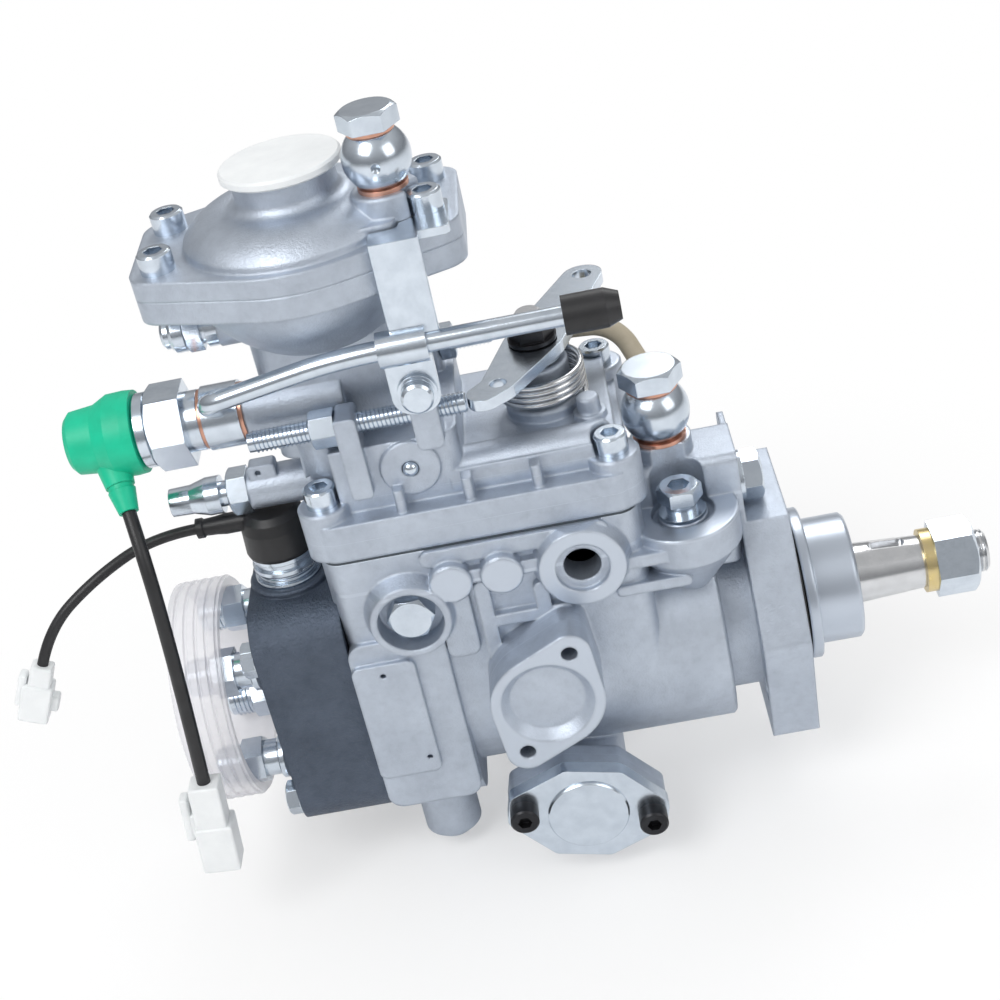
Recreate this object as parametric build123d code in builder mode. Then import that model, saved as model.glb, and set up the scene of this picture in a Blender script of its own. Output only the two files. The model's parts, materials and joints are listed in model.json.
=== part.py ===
from build123d import *
from math import cos, pi, radians, sin, sqrt, tan
import os

# A distributor-type diesel injection pump, in millimetres.
# The drive shaft lies on the X axis and points to +X, x = 0 is the mounting face,
# -Y is the side with the name pad and +Z is up.

os.makedirs("parts", exist_ok=True)

# General fits
running = 0.04
sliding = 0.02
clear = 0.3
thread_gap = 0.05

# Mounting end of the housing
register_radius = 25.0
register_end = 5.8
ring_groove_end = 2.2
ring_groove_radius = 22.9
nose_radius = 20.75
nose_end = 20.0
flange_thickness = 15.0
flange_circle_radius = 34.0
flange_hole_radius = 4.4
flange_half_width = 41.0
flange_bottom = -38.0
flange_shoulder = 45.0
flange_top = 62.0
flange_top_half = 20.0
flange_corner = 5.0
pocket_depth = 13.0
pocket_floor = 41.5
pocket_rear = 25.0

# Housing casting
housing_length = 141.0
barrel_radius = 38.0
box_end = -45.0
box_front = -38.0
box_rear = 34.0
joint_height = 63.0
box_corner = 6.0
cavity_front = -31.0
cavity_rear = 27.0
cavity_left = -136.0
cavity_right = -48.0
chamber_radius = 33.5
gear_chamber_radius = 34.0
gear_chamber_left = -58.0
pump_pocket_radius = 31.0
pump_pocket_left = -46.0
pump_pocket_right = -30.0
barrel_right = -25.0
neck_radius = 29.5
right_block_front = -20.0
right_block_rear = 30.0
right_block_step = 2.0
right_block_top = 65.0

# Distributor head
head_length = 29.0
head_top = 45.0
head_bottom = -37.0
head_rear = 36.0
head_corner = 13.0
head_bolt_offset = 28.5
outlet_circle_radius = 26.0

# Governor cover
gasket_thickness = 0.8
cover_band_top = 76.0
cover_main_top = 84.0
cover_main_front = -31.0
cover_main_rear = 29.0
cover_cavity_front = -25.3
cover_cavity_rear = 24.0
cover_cavity_top = 77.5
tower_right = -93.0
tower_top = 97.0
neck_front = -19.0
neck_rear = 14.0
neck_left = -148.0
neck_right = -103.0

# Boost compensator
boost_x = -126.0
boost_y = -8.0
bowl_bottom = 127.0
bowl_flange_bottom = 147.0
boost_split = 154.0
boost_flange_top = 160.0
boost_radius = 36.0
boost_ear_x = 38.5
boost_ear_y = 14.5
boost_ear_radius = 8.5
boost_chamber_radius = 28.0
boost_neck_radius = 15.0
boost_neck_top = 177.0

# Shaft line
shaft_radius = 10.0
shaft_nut_flats = 22.0
seal_radius = 15.5
seal_left = 12.0
bush_radius = 12.5

# Governor drive
gear_module = 1.6
drive_teeth = 39
driven_teeth = 26
gear_left = -55.0
gear_width = 6.0
governor_height = gear_module * (drive_teeth + driven_teeth) / 2

# Timing device
timing_x = -78.0
timing_height = -39.5
timing_radius = 10.5
timing_wall = 4.0
timing_face = 48.0
timing_cover_tilt = -14.0
timing_cover_height = -36.0


def along_x(x, y=0.0, z=0.0, direction=1):
    """A plane across the X direction, its normal to +X or, with -1, to -X."""
    return Plane(origin=(x, y, z), x_dir=(0, direction, 0), z_dir=(direction, 0, 0))


def along_y(x, y, z, direction=-1):
    """A plane across the Y direction, its normal to -Y or, with 1, to +Y."""
    return Plane(origin=(x, y, z), x_dir=(-direction, 0, 0), z_dir=(0, direction, 0))


def along_z(x, y, z, direction=1):
    """A plane across the Z direction, its normal up or, with -1, down."""
    return Plane(origin=(x, y, z), x_dir=(1, 0, 0), z_dir=(0, 0, direction))


def turned(plane, profile, mode=Mode.ADD):
    """Adds a turned solid about the plane's normal, from (along, radius) corners."""
    side = Plane(origin=plane.origin, x_dir=plane.z_dir, z_dir=plane.y_dir)
    with BuildSketch(side, mode=Mode.PRIVATE) as section:
        with BuildLine():
            Polyline(*profile, close=True)
        make_face()
    revolve(section.sketch, axis=Axis(plane.origin, plane.z_dir), mode=mode)


def rod(plane, radius, start, end, mode=Mode.ADD, edge=0.0):
    """Adds a round bar about the plane's normal, its far edge broken by a bevel."""
    corners = [(start, 0), (start, radius), (end - edge, radius), (end, radius - edge), (end, 0)]
    turned(plane, corners if edge else corners[:2] + [(end, radius), (end, 0)], mode)


def ring(plane, outer, inner, start, end, mode=Mode.ADD):
    """Adds a plain ring about the plane's normal."""
    turned(plane, [(start, inner), (start, outer), (end, outer), (end, inner)], mode)


def hexagon(plane, flats, height, mode=Mode.ADD):
    """Adds a hexagonal bar with its far corners broken by a cone."""
    with BuildSketch(plane, mode=Mode.PRIVATE) as section:
        RegularPolygon(flats / 2, 6, major_radius=False)
    extrude(section.sketch, amount=height, mode=mode)
    reach = 0.62 * flats
    drop = (reach - 0.47 * flats) * tan(radians(30))
    if mode == Mode.ADD:
        turned(plane, [(height, 0.47 * flats), (height, reach), (height - drop, reach)], Mode.SUBTRACT)


def block(x, y, z, radius, axis="z", mode=Mode.ADD):
    """Adds a box between three pairs of limits, its edges along one axis rounded."""
    middle = [(low + high) / 2 for low, high in (x, y, z)]
    size = [high - low for low, high in (x, y, z)]
    start, across, up, depth = {
        "z": (Plane.XY.offset(z[0]), 0, 1, 2),
        "x": (Plane.YZ.offset(x[0]), 1, 2, 0),
        "y": (Plane.XZ.offset(-y[1]), 0, 2, 1),
    }[axis]
    with BuildSketch(start, mode=Mode.PRIVATE) as section:
        with Locations((middle[across], middle[up])):
            RectangleRounded(size[across], size[up], radius)
    extrude(section.sketch, amount=size[depth], mode=mode)


def socket_screw(plane, thread, length, head_radius, head_height, socket):
    """Adds a socket-head screw, its head along the plane's normal."""
    corners = [(-length, 0), (-length, thread / 2), (0, thread / 2), (0, head_radius)]
    top = [(head_height - 0.6, head_radius), (head_height, head_radius - 0.6), (head_height, 0)]
    turned(plane, corners + top)
    with BuildSketch(plane.offset(head_height), mode=Mode.PRIVATE) as recess:
        RegularPolygon(socket / 2, 6, major_radius=False)
    extrude(recess.sketch, amount=-head_height / 2, mode=Mode.SUBTRACT)


def hex_bolt(plane, thread, length, flats, head_height, collar=0.0):
    """Adds a hexagon bolt, its head along the plane's normal, with a collar if wanted."""
    hexagon(plane, flats, head_height)
    rod(plane, thread / 2, -length, 0.0)
    if collar:
        ring(plane, collar, 0.0, 0.0, 1.2)


# Main casting with the flange, the register, the shaft nose and every front feature
fulcrum_x = -118.5
fulcrum_z = 42.0
fulcrum_face = 6.0
port_x = -64.5
port_z = 50.0
port_thread_radius = 5.7
front_boss_face = 43.5
vent_x = -32.0
vent_y = -25.0
vent_shelf = 52.0
inlet_x = -34.5
inlet_y = -9.0
inlet_seat = 70.0
inlet_thread_radius = 5.0
flange_plug_y = -8.0
flange_plug_z = 50.0
flange_plug_radius = 5.0
drain_x = -125.0
drain_y = -22.0
pad_x = -82.5
pad_z = 13.0
pad_face = 57.0
pad_tilt = 61.0
pad_screw_reach = 19.3
pad_screw_radius = 2.5
spindle_radius = 4.0
cover_screw_places = [(-137.0, -29.0), (-49.5, -29.0), (-137.0, 28.5), (-49.5, 28.5)]
cap_thread = 6.0
timing_screw_reach = 20.5
timing_screw_radius = 2.5


def timing_plate(start, depth, grow=0.0, mode=Mode.ADD):
    """Adds the six-sided outline of a timing cover, from y = start on by depth along Y."""
    half, tall, tip, flat = 25.5 + grow, 17.0 + grow, 5.0, 9.0
    corners = [(half, tip), (flat, tall), (-flat, tall), (-half, tip)]
    corners += [(-x, -z) for x, z in corners]
    turn = radians(timing_cover_tilt)
    face = Plane(
        origin=(timing_x, start, timing_cover_height),
        x_dir=(cos(turn), 0, sin(turn)),
        z_dir=(0, -1, 0),
    )
    with BuildSketch(face, mode=Mode.PRIVATE) as section:
        with BuildLine():
            FilletPolyline(*corners, radius=3.5, close=True)
        make_face()
    extrude(section.sketch, amount=-depth, mode=mode)


with BuildPart() as pump_housing:
    rod(along_x(0), barrel_radius, -housing_length, barrel_right, edge=1.0)
    rod(along_x(0), neck_radius, barrel_right - 1, -flange_thickness / 2)
    with BuildSketch(Plane.YZ.offset(-flange_thickness)):
        with BuildLine():
            FilletPolyline(
                (-flange_top_half, flange_top),
                (-flange_top_half, flange_shoulder),
                (-flange_half_width, 5),
                (-31, flange_bottom),
                (31, flange_bottom),
                (flange_half_width, 5),
                (flange_top_half - 2, flange_shoulder),
                (flange_top_half - 4, flange_top),
                radius=flange_corner,
                close=True,
            )
        make_face()
    extrude(amount=flange_thickness)
    block((-housing_length, -110), (box_front, head_rear), (head_bottom, 30), head_corner, "x")
    block((-housing_length, box_end), (box_front, box_rear), (0, joint_height), box_corner)
    block((-52, barrel_right), (right_block_front, right_block_rear), (5, 48), 3, "x")
    block((-52, box_end + clear), (right_block_front, right_block_rear), (5, joint_height - 1), 3, "x")
    block((-52, -8), (right_block_front, right_block_step), (pocket_floor + 1, joint_height - 1), 3, "x")
    block(
        (box_end + clear, -8),
        (right_block_front, right_block_step),
        (pocket_floor + 1, right_block_top),
        3,
        "x",
    )
    turned(along_z(vent_x, vent_y, 0), [(26, 0), (26, 5), (42, 17), (vent_shelf, 17), (vent_shelf, 0)])
    block((-47, -16), (vent_y, -5), (30, vent_shelf), 3)
    rod(along_y(timing_x, 0, timing_height), timing_radius + timing_wall, -timing_face, timing_face)
    timing_plate(-timing_face, 9, -0.5)
    timing_plate(timing_face - 9, 9, -0.5)
    rod(along_z(drain_x, drain_y, -54, 1), 9.5, 0, 40)
    rod(along_z(drain_x, drain_y, -54, -1), 9.5, 0, 3.5, edge=3.4)
    block((-housing_length, -121), (-42, -34), (-17, 27), 2.5, "y")
    block((-housing_length, -110.5), (-40, -34), (-31, 34), 5, "y")
    for side, wall in ((-1, -box_front), (1, box_rear)):
        boss = along_y(fulcrum_x, side * (wall - 4), fulcrum_z, side)
        turned(boss, [(0, 0), (0, 14.5), (4, 14.5), (4 + fulcrum_face, 12.3), (4 + fulcrum_face, 0)])
    turned(along_y(port_x, -34, port_z), [(0, 0), (0, 16), (4, 15), (9.5, 13), (9.5, 0)])
    for boss_x in (-104.0, -88.5):
        rod(along_y(boss_x, -34, 52.5), 6.5, 0, front_boss_face - 34, edge=0.6)
    block((-104, -64), (-41.5, -34), (50.5, 55), 2, "y")
    block((-110, -100), (-40.5, -30), (24, 50), 3, "y")
    block((-98, -93.5), (-41, -30), (20, 50), 2, "y")
    block((-98, -70), (-41, -30), (33, 37), 1.9, "y")
    block((-80.5, -76), (-41, -30), (20, 46), 2, "y")
    block((-60, -30), (-40.5, -26), (44.5, 48.5), 1.9, "y")
    block((-56, -33), (-39.5, -26), (34.5, 38), 1.7, "y")
    block((-112, -55), (-40, -30), (57.5, joint_height), 2.7, "y")
    with BuildSketch(Plane.XZ.offset(20)):
        with Locations((pad_x, pad_z)):
            Circle(17.5)
        for reach in (-pad_screw_reach, pad_screw_reach):
            with Locations((pad_x + reach * cos(radians(pad_tilt)), pad_z + reach * sin(radians(pad_tilt)))):
                Circle(6.5)
        make_hull()
    extrude(amount=pad_face - 20)
    rod(along_z(inlet_x, inlet_y, right_block_top - 5), 9.5, 0, inlet_seat - right_block_top + 5)
    turned(
        along_x(0),
        [
            (-5, 0),
            (-5, ring_groove_radius),
            (ring_groove_end, ring_groove_radius),
            (ring_groove_end, register_radius),
            (register_end - 0.5, register_radius),
            (register_end, register_radius - 0.5),
            (register_end, nose_radius),
            (nose_end - 1, nose_radius),
            (nose_end, nose_radius - 1),
            (nose_end, 0),
        ],
    )
    # Hollows
    block((-150, box_end + clear), (-60, 50), (joint_height, 90), 1, mode=Mode.SUBTRACT)
    turned(
        along_x(0),
        [
            (nose_end + 1, 0),
            (nose_end + 1, seal_radius),
            (seal_left, seal_radius),
            (seal_left, bush_radius),
            (pump_pocket_right, bush_radius),
            (pump_pocket_right, pump_pocket_radius),
            (pump_pocket_left, pump_pocket_radius),
            (pump_pocket_left, gear_chamber_radius),
            (gear_chamber_left, gear_chamber_radius),
            (gear_chamber_left, chamber_radius),
            (-housing_length - 1, chamber_radius),
            (-housing_length - 1, 0),
        ],
        Mode.SUBTRACT,
    )
    block(
        (cavity_left, cavity_right), (cavity_front, cavity_rear), (0, joint_height + 1), 4, mode=Mode.SUBTRACT
    )
    for place_x, place_y in cover_screw_places:
        rod(along_z(place_x, place_y, joint_height), 5.3, -17, 0)
    rod(along_z(*cover_screw_places[3], joint_height), 8.4, 0, 5, Mode.SUBTRACT)
    rod(along_y(timing_x, 0, timing_height), timing_radius + running, -60, 60, Mode.SUBTRACT)
    block((-pocket_depth, 5), (-30, pocket_rear), (pocket_floor, 70), 2, "x", Mode.SUBTRACT)
    with BuildSketch(Plane.YZ.offset(1)):
        with PolarLocations(flange_circle_radius, 3, start_angle=90):
            Circle(flange_hole_radius)
    extrude(amount=-flange_thickness - 8, mode=Mode.SUBTRACT)
    rod(along_x(-pocket_depth, flange_plug_y, flange_plug_z), flange_plug_radius, -14, 1, Mode.SUBTRACT)
    for side, wall in ((-1, -box_front), (1, box_rear)):
        face = along_y(fulcrum_x, side * (wall + fulcrum_face), fulcrum_z, side)
        rod(face, 10.2, -8, 1, Mode.SUBTRACT)
        rod(face, 4 + thread_gap, -30, 1, Mode.SUBTRACT)
    port = along_y(port_x, -43.5, port_z)
    rod(port, 8.2, -2.2, 1, Mode.SUBTRACT)
    rod(port, port_thread_radius, -15, 1, Mode.SUBTRACT)
    turned(
        along_y(pad_x, -pad_face, pad_z),
        [(1, 0), (1, 14.5), (0, 14.5), (-3.2, 11.5), (-3.2, 0)],
        Mode.SUBTRACT,
    )
    for reach in (-pad_screw_reach, pad_screw_reach):
        hole_x = pad_x + reach * cos(radians(pad_tilt))
        hole_z = pad_z + reach * sin(radians(pad_tilt))
        rod(along_y(hole_x, -pad_face, hole_z), pad_screw_radius, -12, 1, Mode.SUBTRACT)
    ring(along_z(vent_x, vent_y, vent_shelf), 9.7, 7.6, -2.5, 1, Mode.SUBTRACT)
    rod(along_z(vent_x, vent_y, vent_shelf), 9.7, -0.8, 20, Mode.SUBTRACT)
    rod(along_z(vent_x, vent_y, vent_shelf), 4 + thread_gap, -14, 1, Mode.SUBTRACT)
    rod(along_z(inlet_x, inlet_y, inlet_seat), inlet_thread_radius + thread_gap, -20, 1, Mode.SUBTRACT)
    for hole_x, hole_y in cover_screw_places:
        rod(along_z(hole_x, hole_y, joint_height), cap_thread / 2 + thread_gap, -14, 1, Mode.SUBTRACT)
    for hole_y in (-head_bolt_offset, head_bolt_offset):
        for hole_z in (-head_bolt_offset, head_bolt_offset):
            rod(along_x(-housing_length, hole_y, hole_z), 3 + thread_gap, -1, 16, Mode.SUBTRACT)
    for face in (-1, 1):
        for reach in (-timing_screw_reach, timing_screw_reach):
            hole_x = timing_x + reach * cos(radians(timing_cover_tilt))
            hole_z = timing_cover_height + reach * sin(radians(timing_cover_tilt))
            rod(
                along_y(hole_x, face * timing_face, hole_z, face),
                timing_screw_radius + thread_gap,
                -8.5,
                1,
                Mode.SUBTRACT,
            )
    rod(along_x(cavity_right - 1, 0, governor_height), spindle_radius + sliding, 0, 15, Mode.SUBTRACT)
    for hole_x, hole_z in ((-131.5, 23.0), (-124.0, -11.0)):
        rod(along_y(hole_x, -42, hole_z), 0.9, -3, 1, Mode.SUBTRACT)
pump_housing.part.label = "pump_housing"
export_step(pump_housing.part, "parts/pump_housing.step")

# Cover gasket
with BuildPart() as cover_gasket:
    gasket_top = joint_height + gasket_thickness
    block((-housing_length, box_end), (box_front, box_rear), (joint_height, gasket_top), box_corner)
    block(
        (cavity_left, cavity_right),
        (cavity_front, cavity_rear),
        (joint_height - 1, joint_height + 2),
        4,
        mode=Mode.SUBTRACT,
    )
    for hole_x, hole_y in cover_screw_places:
        rod(along_z(hole_x, hole_y, joint_height), 5.3, 0, gasket_thickness)
        rod(along_z(hole_x, hole_y, joint_height), cap_thread / 2 + 0.3, -1, 2, Mode.SUBTRACT)
cover_gasket.part.label = "cover_gasket"
export_step(cover_gasket.part, "parts/cover_gasket.step")

# Governor cover, one casting with the lower bowl of the boost compensator
cover_base = joint_height + gasket_thickness
cover_screw_seat = 80.0
switch_y = -14.0
switch_z = 107.5
switch_boss_end = -154.0
switch_thread_radius = 6.0
full_load_y = -10.0
full_load_z = 79.0
full_load_end = -161.0
stop_screw_y = -29.0
stop_screw_z = 104.7
max_screw_y = 13.0
max_screw_z = 104.7
max_lug_x = -99.0
lug_front = -35.0
lug_rear = -24.0
left_lug = (-127.0, -120.5)
right_lug = (-104.5, -96.5)
bracket_bolt_x = -100.5
bracket_bolt_z = 115.0
hub_x = -67.0
hub_y = -1.5
throttle_shaft_radius = 5.0
throttle_boss_top = 100.0
hose_nipple_x = -60.0
hose_nipple_y = 22.0
hose_nipple_top = 85.5
boost_pin_radius = 5.0
side_fitting_y = -8.0
side_fitting_z = 134.0
side_fitting_face = -156.0


boost_screw_places = [
    (boost_x + sx * boost_ear_x, boost_y + sy * boost_ear_y) for sx in (-1, 1) for sy in (-1, 1)
]


def boost_flange(height, thickness):
    """Adds the round diaphragm flange with its two wide ears, each for two screws."""
    with BuildSketch(Plane.XY.offset(height), mode=Mode.PRIVATE) as section:
        with Locations((boost_x, boost_y)):
            Circle(boost_radius)
        with Locations(*boost_screw_places):
            Circle(boost_ear_radius)
        make_hull()
    extrude(section.sketch, amount=thickness)


with BuildPart() as governor_cover:
    block((-housing_length, box_end), (box_front, box_rear), (cover_base, cover_band_top), box_corner)
    block((-139.5, -47.5), (cover_main_front, cover_main_rear), (cover_band_top - 3, cover_main_top), 5)
    block((-139.5, tower_right), (cover_main_front, cover_main_rear), (cover_band_top - 3, tower_top), 5)
    rod(along_x(-98, -24, 79.5), 7.5, 0, 49, edge=1.5)
    block((neck_left, neck_right), (neck_front, neck_rear), (tower_top - 6, 133), 7)
    with BuildSketch(Plane(origin=(boost_x, boost_y, 0), x_dir=(1, 0, 0), z_dir=(0, -1, 0))):
        with BuildLine():
            Line((0, bowl_bottom), (18, bowl_bottom))
            ThreePointArc((18, bowl_bottom), (28.5, 136), (boost_radius - 0.5, bowl_flange_bottom))
            Line((boost_radius - 0.5, bowl_flange_bottom), (0, bowl_flange_bottom))
            Line((0, bowl_flange_bottom), (0, bowl_bottom))
        make_face()
    revolve(axis=Axis((boost_x, boost_y, 0), (0, 0, 1)))
    boost_flange(bowl_flange_bottom, boost_split - bowl_flange_bottom)
    for place_x, place_y in cover_screw_places:
        rod(along_z(place_x, place_y, cover_base), 8.0, 0, cover_screw_seat - cover_base, edge=0.6)
    rod(along_x(switch_boss_end, switch_y, switch_z), 8.5, 0, 30)
    rod(along_x(full_load_end, full_load_y, full_load_z), 6.6, 0, 30)
    rod(along_x(side_fitting_face, side_fitting_y, side_fitting_z), 6.5, 0, 10)
    block((-159.5, -151), (-14.5, -9), (full_load_z, full_load_z + 9.5), 1.2, "y")
    block((-141, -130), (-26, -9), (tower_top - 10, tower_top + 3), 3)
    block(left_lug, (lug_front, lug_rear), (82, 109), 1.5, "y")
    block(right_lug, (lug_front, lug_rear), (94.5, 121.5), 2, "y")
    block((max_lug_x - 3, max_lug_x + 3), (max_screw_y - 5, max_screw_y + 5), (tower_top - 5, 110), 2)
    rod(along_y(-108.5, cover_main_front, 88), 9.0, -1, 1.4, edge=0.4)
    for rib_x in (-113.5, -93.0, -72.5):
        block((rib_x - 1.6, rib_x + 1.6), (-36.5, -28), (cover_band_top - 4, 83.5), 1.5)
    rod(along_z(hub_x, hub_y, cover_main_top - 5), 12.0, 0, 9, edge=1.0)
    rod(along_z(hub_x, hub_y, cover_main_top - 5), 9.3, 0, throttle_boss_top - cover_main_top + 5, edge=0.5)
    turned(
        along_z(-54.0, -13.5, cover_main_top - 4),
        [(0, 0), (0, 5.2), (6, 5), (6, 3.6), (10.5, 3.4), (11, 2.9), (11, 0)],
    )
    nipple = along_z(hose_nipple_x, hose_nipple_y, cover_main_top)
    rod(nipple, 5.5, -4, hose_nipple_top - cover_main_top, edge=0.6)
    # Hollows
    block(
        (cavity_left, cavity_right),
        (cover_cavity_front, cover_cavity_rear),
        (cover_base - 1, cover_cavity_top),
        4,
        mode=Mode.SUBTRACT,
    )
    turned(
        along_z(boost_x, boost_y, 0),
        [
            (boost_split + 1, 0),
            (boost_split + 1, boost_chamber_radius),
            (144, boost_chamber_radius),
            (134, 18),
            (134, boost_pin_radius + running),
            (cover_cavity_top - 1, boost_pin_radius + running),
            (cover_cavity_top - 1, 0),
        ],
        Mode.SUBTRACT,
    )
    for place_x, place_y in cover_screw_places:
        rod(along_z(place_x, place_y, cover_base - 1), cap_thread / 2 + 0.3, 0, 30, Mode.SUBTRACT)
        rod(along_z(place_x, place_y, cover_screw_seat), 5.8, 0, 30, Mode.SUBTRACT)
    for place_x, place_y in boost_screw_places:
        rod(along_z(place_x, place_y, bowl_flange_bottom - 1), cap_thread / 2 + thread_gap, 0, 12, Mode.SUBTRACT)
    rod(along_x(switch_boss_end - 1, switch_y, switch_z), switch_thread_radius + thread_gap, 0, 18, Mode.SUBTRACT)
    rod(along_x(full_load_end - 1, full_load_y, full_load_z), 4 + thread_gap, 0, 32, Mode.SUBTRACT)
    rod(along_x(-130, stop_screw_y, stop_screw_z), 3 + thread_gap, -10, 40, Mode.SUBTRACT)
    rod(along_x(max_lug_x - 5, max_screw_y, max_screw_z), 3 + thread_gap, 0, 12, Mode.SUBTRACT)
    rod(along_y(bracket_bolt_x, lug_front, bracket_bolt_z), 3 + thread_gap, -8, 1, Mode.SUBTRACT)
    rod(along_z(hub_x, hub_y, cover_cavity_top - 1), throttle_shaft_radius + running, 0, 30, Mode.SUBTRACT)
    rod(along_y(-156.5, -14.5, full_load_z + 7.2), 0.9, -6, 1, Mode.SUBTRACT)
    rod(along_y(-108.5, cover_main_front - 1.4, 88), 2.6, -3.4, 1, Mode.SUBTRACT)
    rod(along_x(side_fitting_face, side_fitting_y, side_fitting_z), 3.5, -1, 14, Mode.SUBTRACT)
    rod(along_x(side_fitting_face, side_fitting_y, side_fitting_z, -1), 6.8, 0, 10, Mode.SUBTRACT)
    rod(along_z(hose_nipple_x, hose_nipple_y, hose_nipple_top), 2.0, -9, 1, Mode.SUBTRACT)
governor_cover.part.label = "governor_cover"
export_step(governor_cover.part, "parts/governor_cover.step")

# Upper cover of the boost compensator
boost_banjo_x = -98.0
boost_banjo_y = -19.0
boost_banjo_seat = 170.0

with BuildPart() as boost_cover:
    boost_flange(boost_split, boost_flange_top - boost_split)
    with BuildSketch(Plane(origin=(boost_x, boost_y, 0), x_dir=(1, 0, 0), z_dir=(0, -1, 0))):
        with BuildLine():
            Line((0, 158), (33.5, 158))
            Line((33.5, 158), (32.5, 162))
            ThreePointArc((32.5, 162), (26.5, 167), (18.5, 168.6))
            ThreePointArc((18.5, 168.6), (15.8, 169.8), (boost_neck_radius, 171.6))
            Line((boost_neck_radius, 171.6), (boost_neck_radius, boost_neck_top))
            Line((boost_neck_radius, boost_neck_top), (0, boost_neck_top))
            Line((0, boost_neck_top), (0, 158))
        make_face()
    revolve(axis=Axis((boost_x, boost_y, 0), (0, 0, 1)))
    rod(along_z(boost_banjo_x, boost_banjo_y, 156), 9.6, 0, boost_banjo_seat - 156, edge=0.5)
    block((-111, -96), (boost_y - 24, boost_y - 8), (156, 164), 4)
    for place_x, place_y in boost_screw_places:
        rod(along_z(place_x, place_y, boost_flange_top), 5.8, 0, 14, Mode.SUBTRACT)
    turned(
        along_z(boost_x, boost_y, 0),
        [
            (boost_split - 1, 0),
            (boost_split - 1, boost_chamber_radius),
            (157, boost_chamber_radius),
            (163.5, 20),
            (165, 12.1),
            (boost_neck_top + 1, 12.1),
            (boost_neck_top + 1, 0),
        ],
        Mode.SUBTRACT,
    )
    for place_x, place_y in boost_screw_places:
        rod(along_z(place_x, place_y, boost_split - 1), cap_thread / 2 + 0.3, 0, 12, Mode.SUBTRACT)
    rod(along_z(boost_banjo_x, boost_banjo_y, boost_banjo_seat), 4 + thread_gap, -15, 1, Mode.SUBTRACT)
boost_cover.part.label = "boost_cover"
export_step(boost_cover.part, "parts/boost_cover.step")

# Screws, plugs and bolts of the casing
bracket_thickness = 2.5
head_face = -housing_length - head_length
holder_seat = head_face - 4.0
inlet_washer = 1.2
solenoid_x = -157.0
solenoid_y = -10.0
solenoid_seat = 47.0
fulcrum_pin = 4.0
centre_plug_radius = 8.0


def bolt_circle(offset):
    """The four corners of a square pattern round the shaft axis, as (y, z)."""
    return [(sy * offset, sz * offset) for sy in (-1, 1) for sz in (-1, 1)]


def timing_screw_places():
    """The two screw places on a timing cover, as (x, z)."""
    turn = radians(timing_cover_tilt)
    reaches = (-timing_screw_reach, timing_screw_reach)
    return [(timing_x + r * cos(turn), timing_cover_height + r * sin(turn)) for r in reaches]


with BuildPart() as cap_screws:
    for place_x, place_y in cover_screw_places:
        seat = along_z(place_x, place_y, cover_screw_seat)
        socket_screw(seat, cap_thread, cover_screw_seat - joint_height + 12, 5.0, 6.0, 5.0)
    for place_x, place_y in boost_screw_places:
        on_bracket = place_x > boost_x and place_y < boost_y
        seat_height = boost_flange_top + (bracket_thickness if on_bracket else 0)
        socket_screw(along_z(place_x, place_y, seat_height), cap_thread, 12.0, 5.0, 6.0, 5.0)
cap_screws.part.label = "cap_screws"
export_step(cap_screws.part, "parts/cap_screws.step")

timing_cover_thickness = 5.0
with BuildPart() as timing_covers:
    timing_plate(-timing_face - timing_cover_thickness, timing_cover_thickness)
    timing_plate(timing_face, timing_cover_thickness)
    for face in (-1, 1):
        outside = timing_face + timing_cover_thickness
        rod(along_y(timing_x, face * outside, timing_cover_height, face), 13.0, -1, 1.0, edge=0.5)
        for hole_x, hole_z in timing_screw_places():
            plane = along_y(hole_x, face * outside, hole_z, face)
            rod(plane, timing_screw_radius + clear, -timing_cover_thickness - 1, 2, Mode.SUBTRACT)
timing_covers.part.label = "timing_covers"
export_step(timing_covers.part, "parts/timing_covers.step")

with BuildPart() as timing_cover_screws:
    for face in (-1, 1):
        for hole_x, hole_z in timing_screw_places():
            plane = along_y(hole_x, face * (timing_face + timing_cover_thickness), hole_z, face)
            socket_screw(plane, 2 * timing_screw_radius, timing_cover_thickness + 8, 4.6, 5.0, 4.0)
timing_cover_screws.part.label = "timing_cover_screws"
export_step(timing_cover_screws.part, "parts/timing_cover_screws.step")

with BuildPart() as screw_plugs:
    vent = along_z(vent_x, vent_y, vent_shelf)
    rod(vent, 4.0, -12, -0.8)
    rod(vent, 7.3, -0.8, 0.6)
    rod(vent, 4.8, 0.6, 4.5)
    hexagon(vent.offset(4.5), 12.0, 5.0)
    with BuildSketch(vent.offset(9.5)):
        RegularPolygon(3.0, 6, major_radius=False)
    extrude(amount=-4, mode=Mode.SUBTRACT)
    side_plug = along_x(-pocket_depth, flange_plug_y, flange_plug_z)
    rod(side_plug, flange_plug_radius - thread_gap, -13, 0)
    rod(side_plug, 8.2, 0, 1.6)
    hexagon(side_plug.offset(1.6), 14.0, 6.0)
    centre = along_x(head_face, 0, 0, -1)
    rod(centre, centre_plug_radius - thread_gap, -10, 0)
    hexagon(centre, 19.0, 5.0)
    fitting = along_x(side_fitting_face, side_fitting_y, side_fitting_z, -1)
    rod(fitting, 3.5 - thread_gap, -8, 0)
    rod(fitting, 6.0, 0, 3.5)
    rod(fitting, 4.8, 3.5, 5)
    hexagon(fitting.offset(5), 11.5, 5.0)
    rod(fitting, 6.1, 10, 14.5, edge=1.2)
    rod(fitting, 4.5, 14.5, 17, edge=1.0)
    with Locations((-108.5, cover_main_front - 0.6, 88)):
        Sphere(2.5)
screw_plugs.part.label = "screw_plugs"
export_step(screw_plugs.part, "parts/screw_plugs.step")

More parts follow.
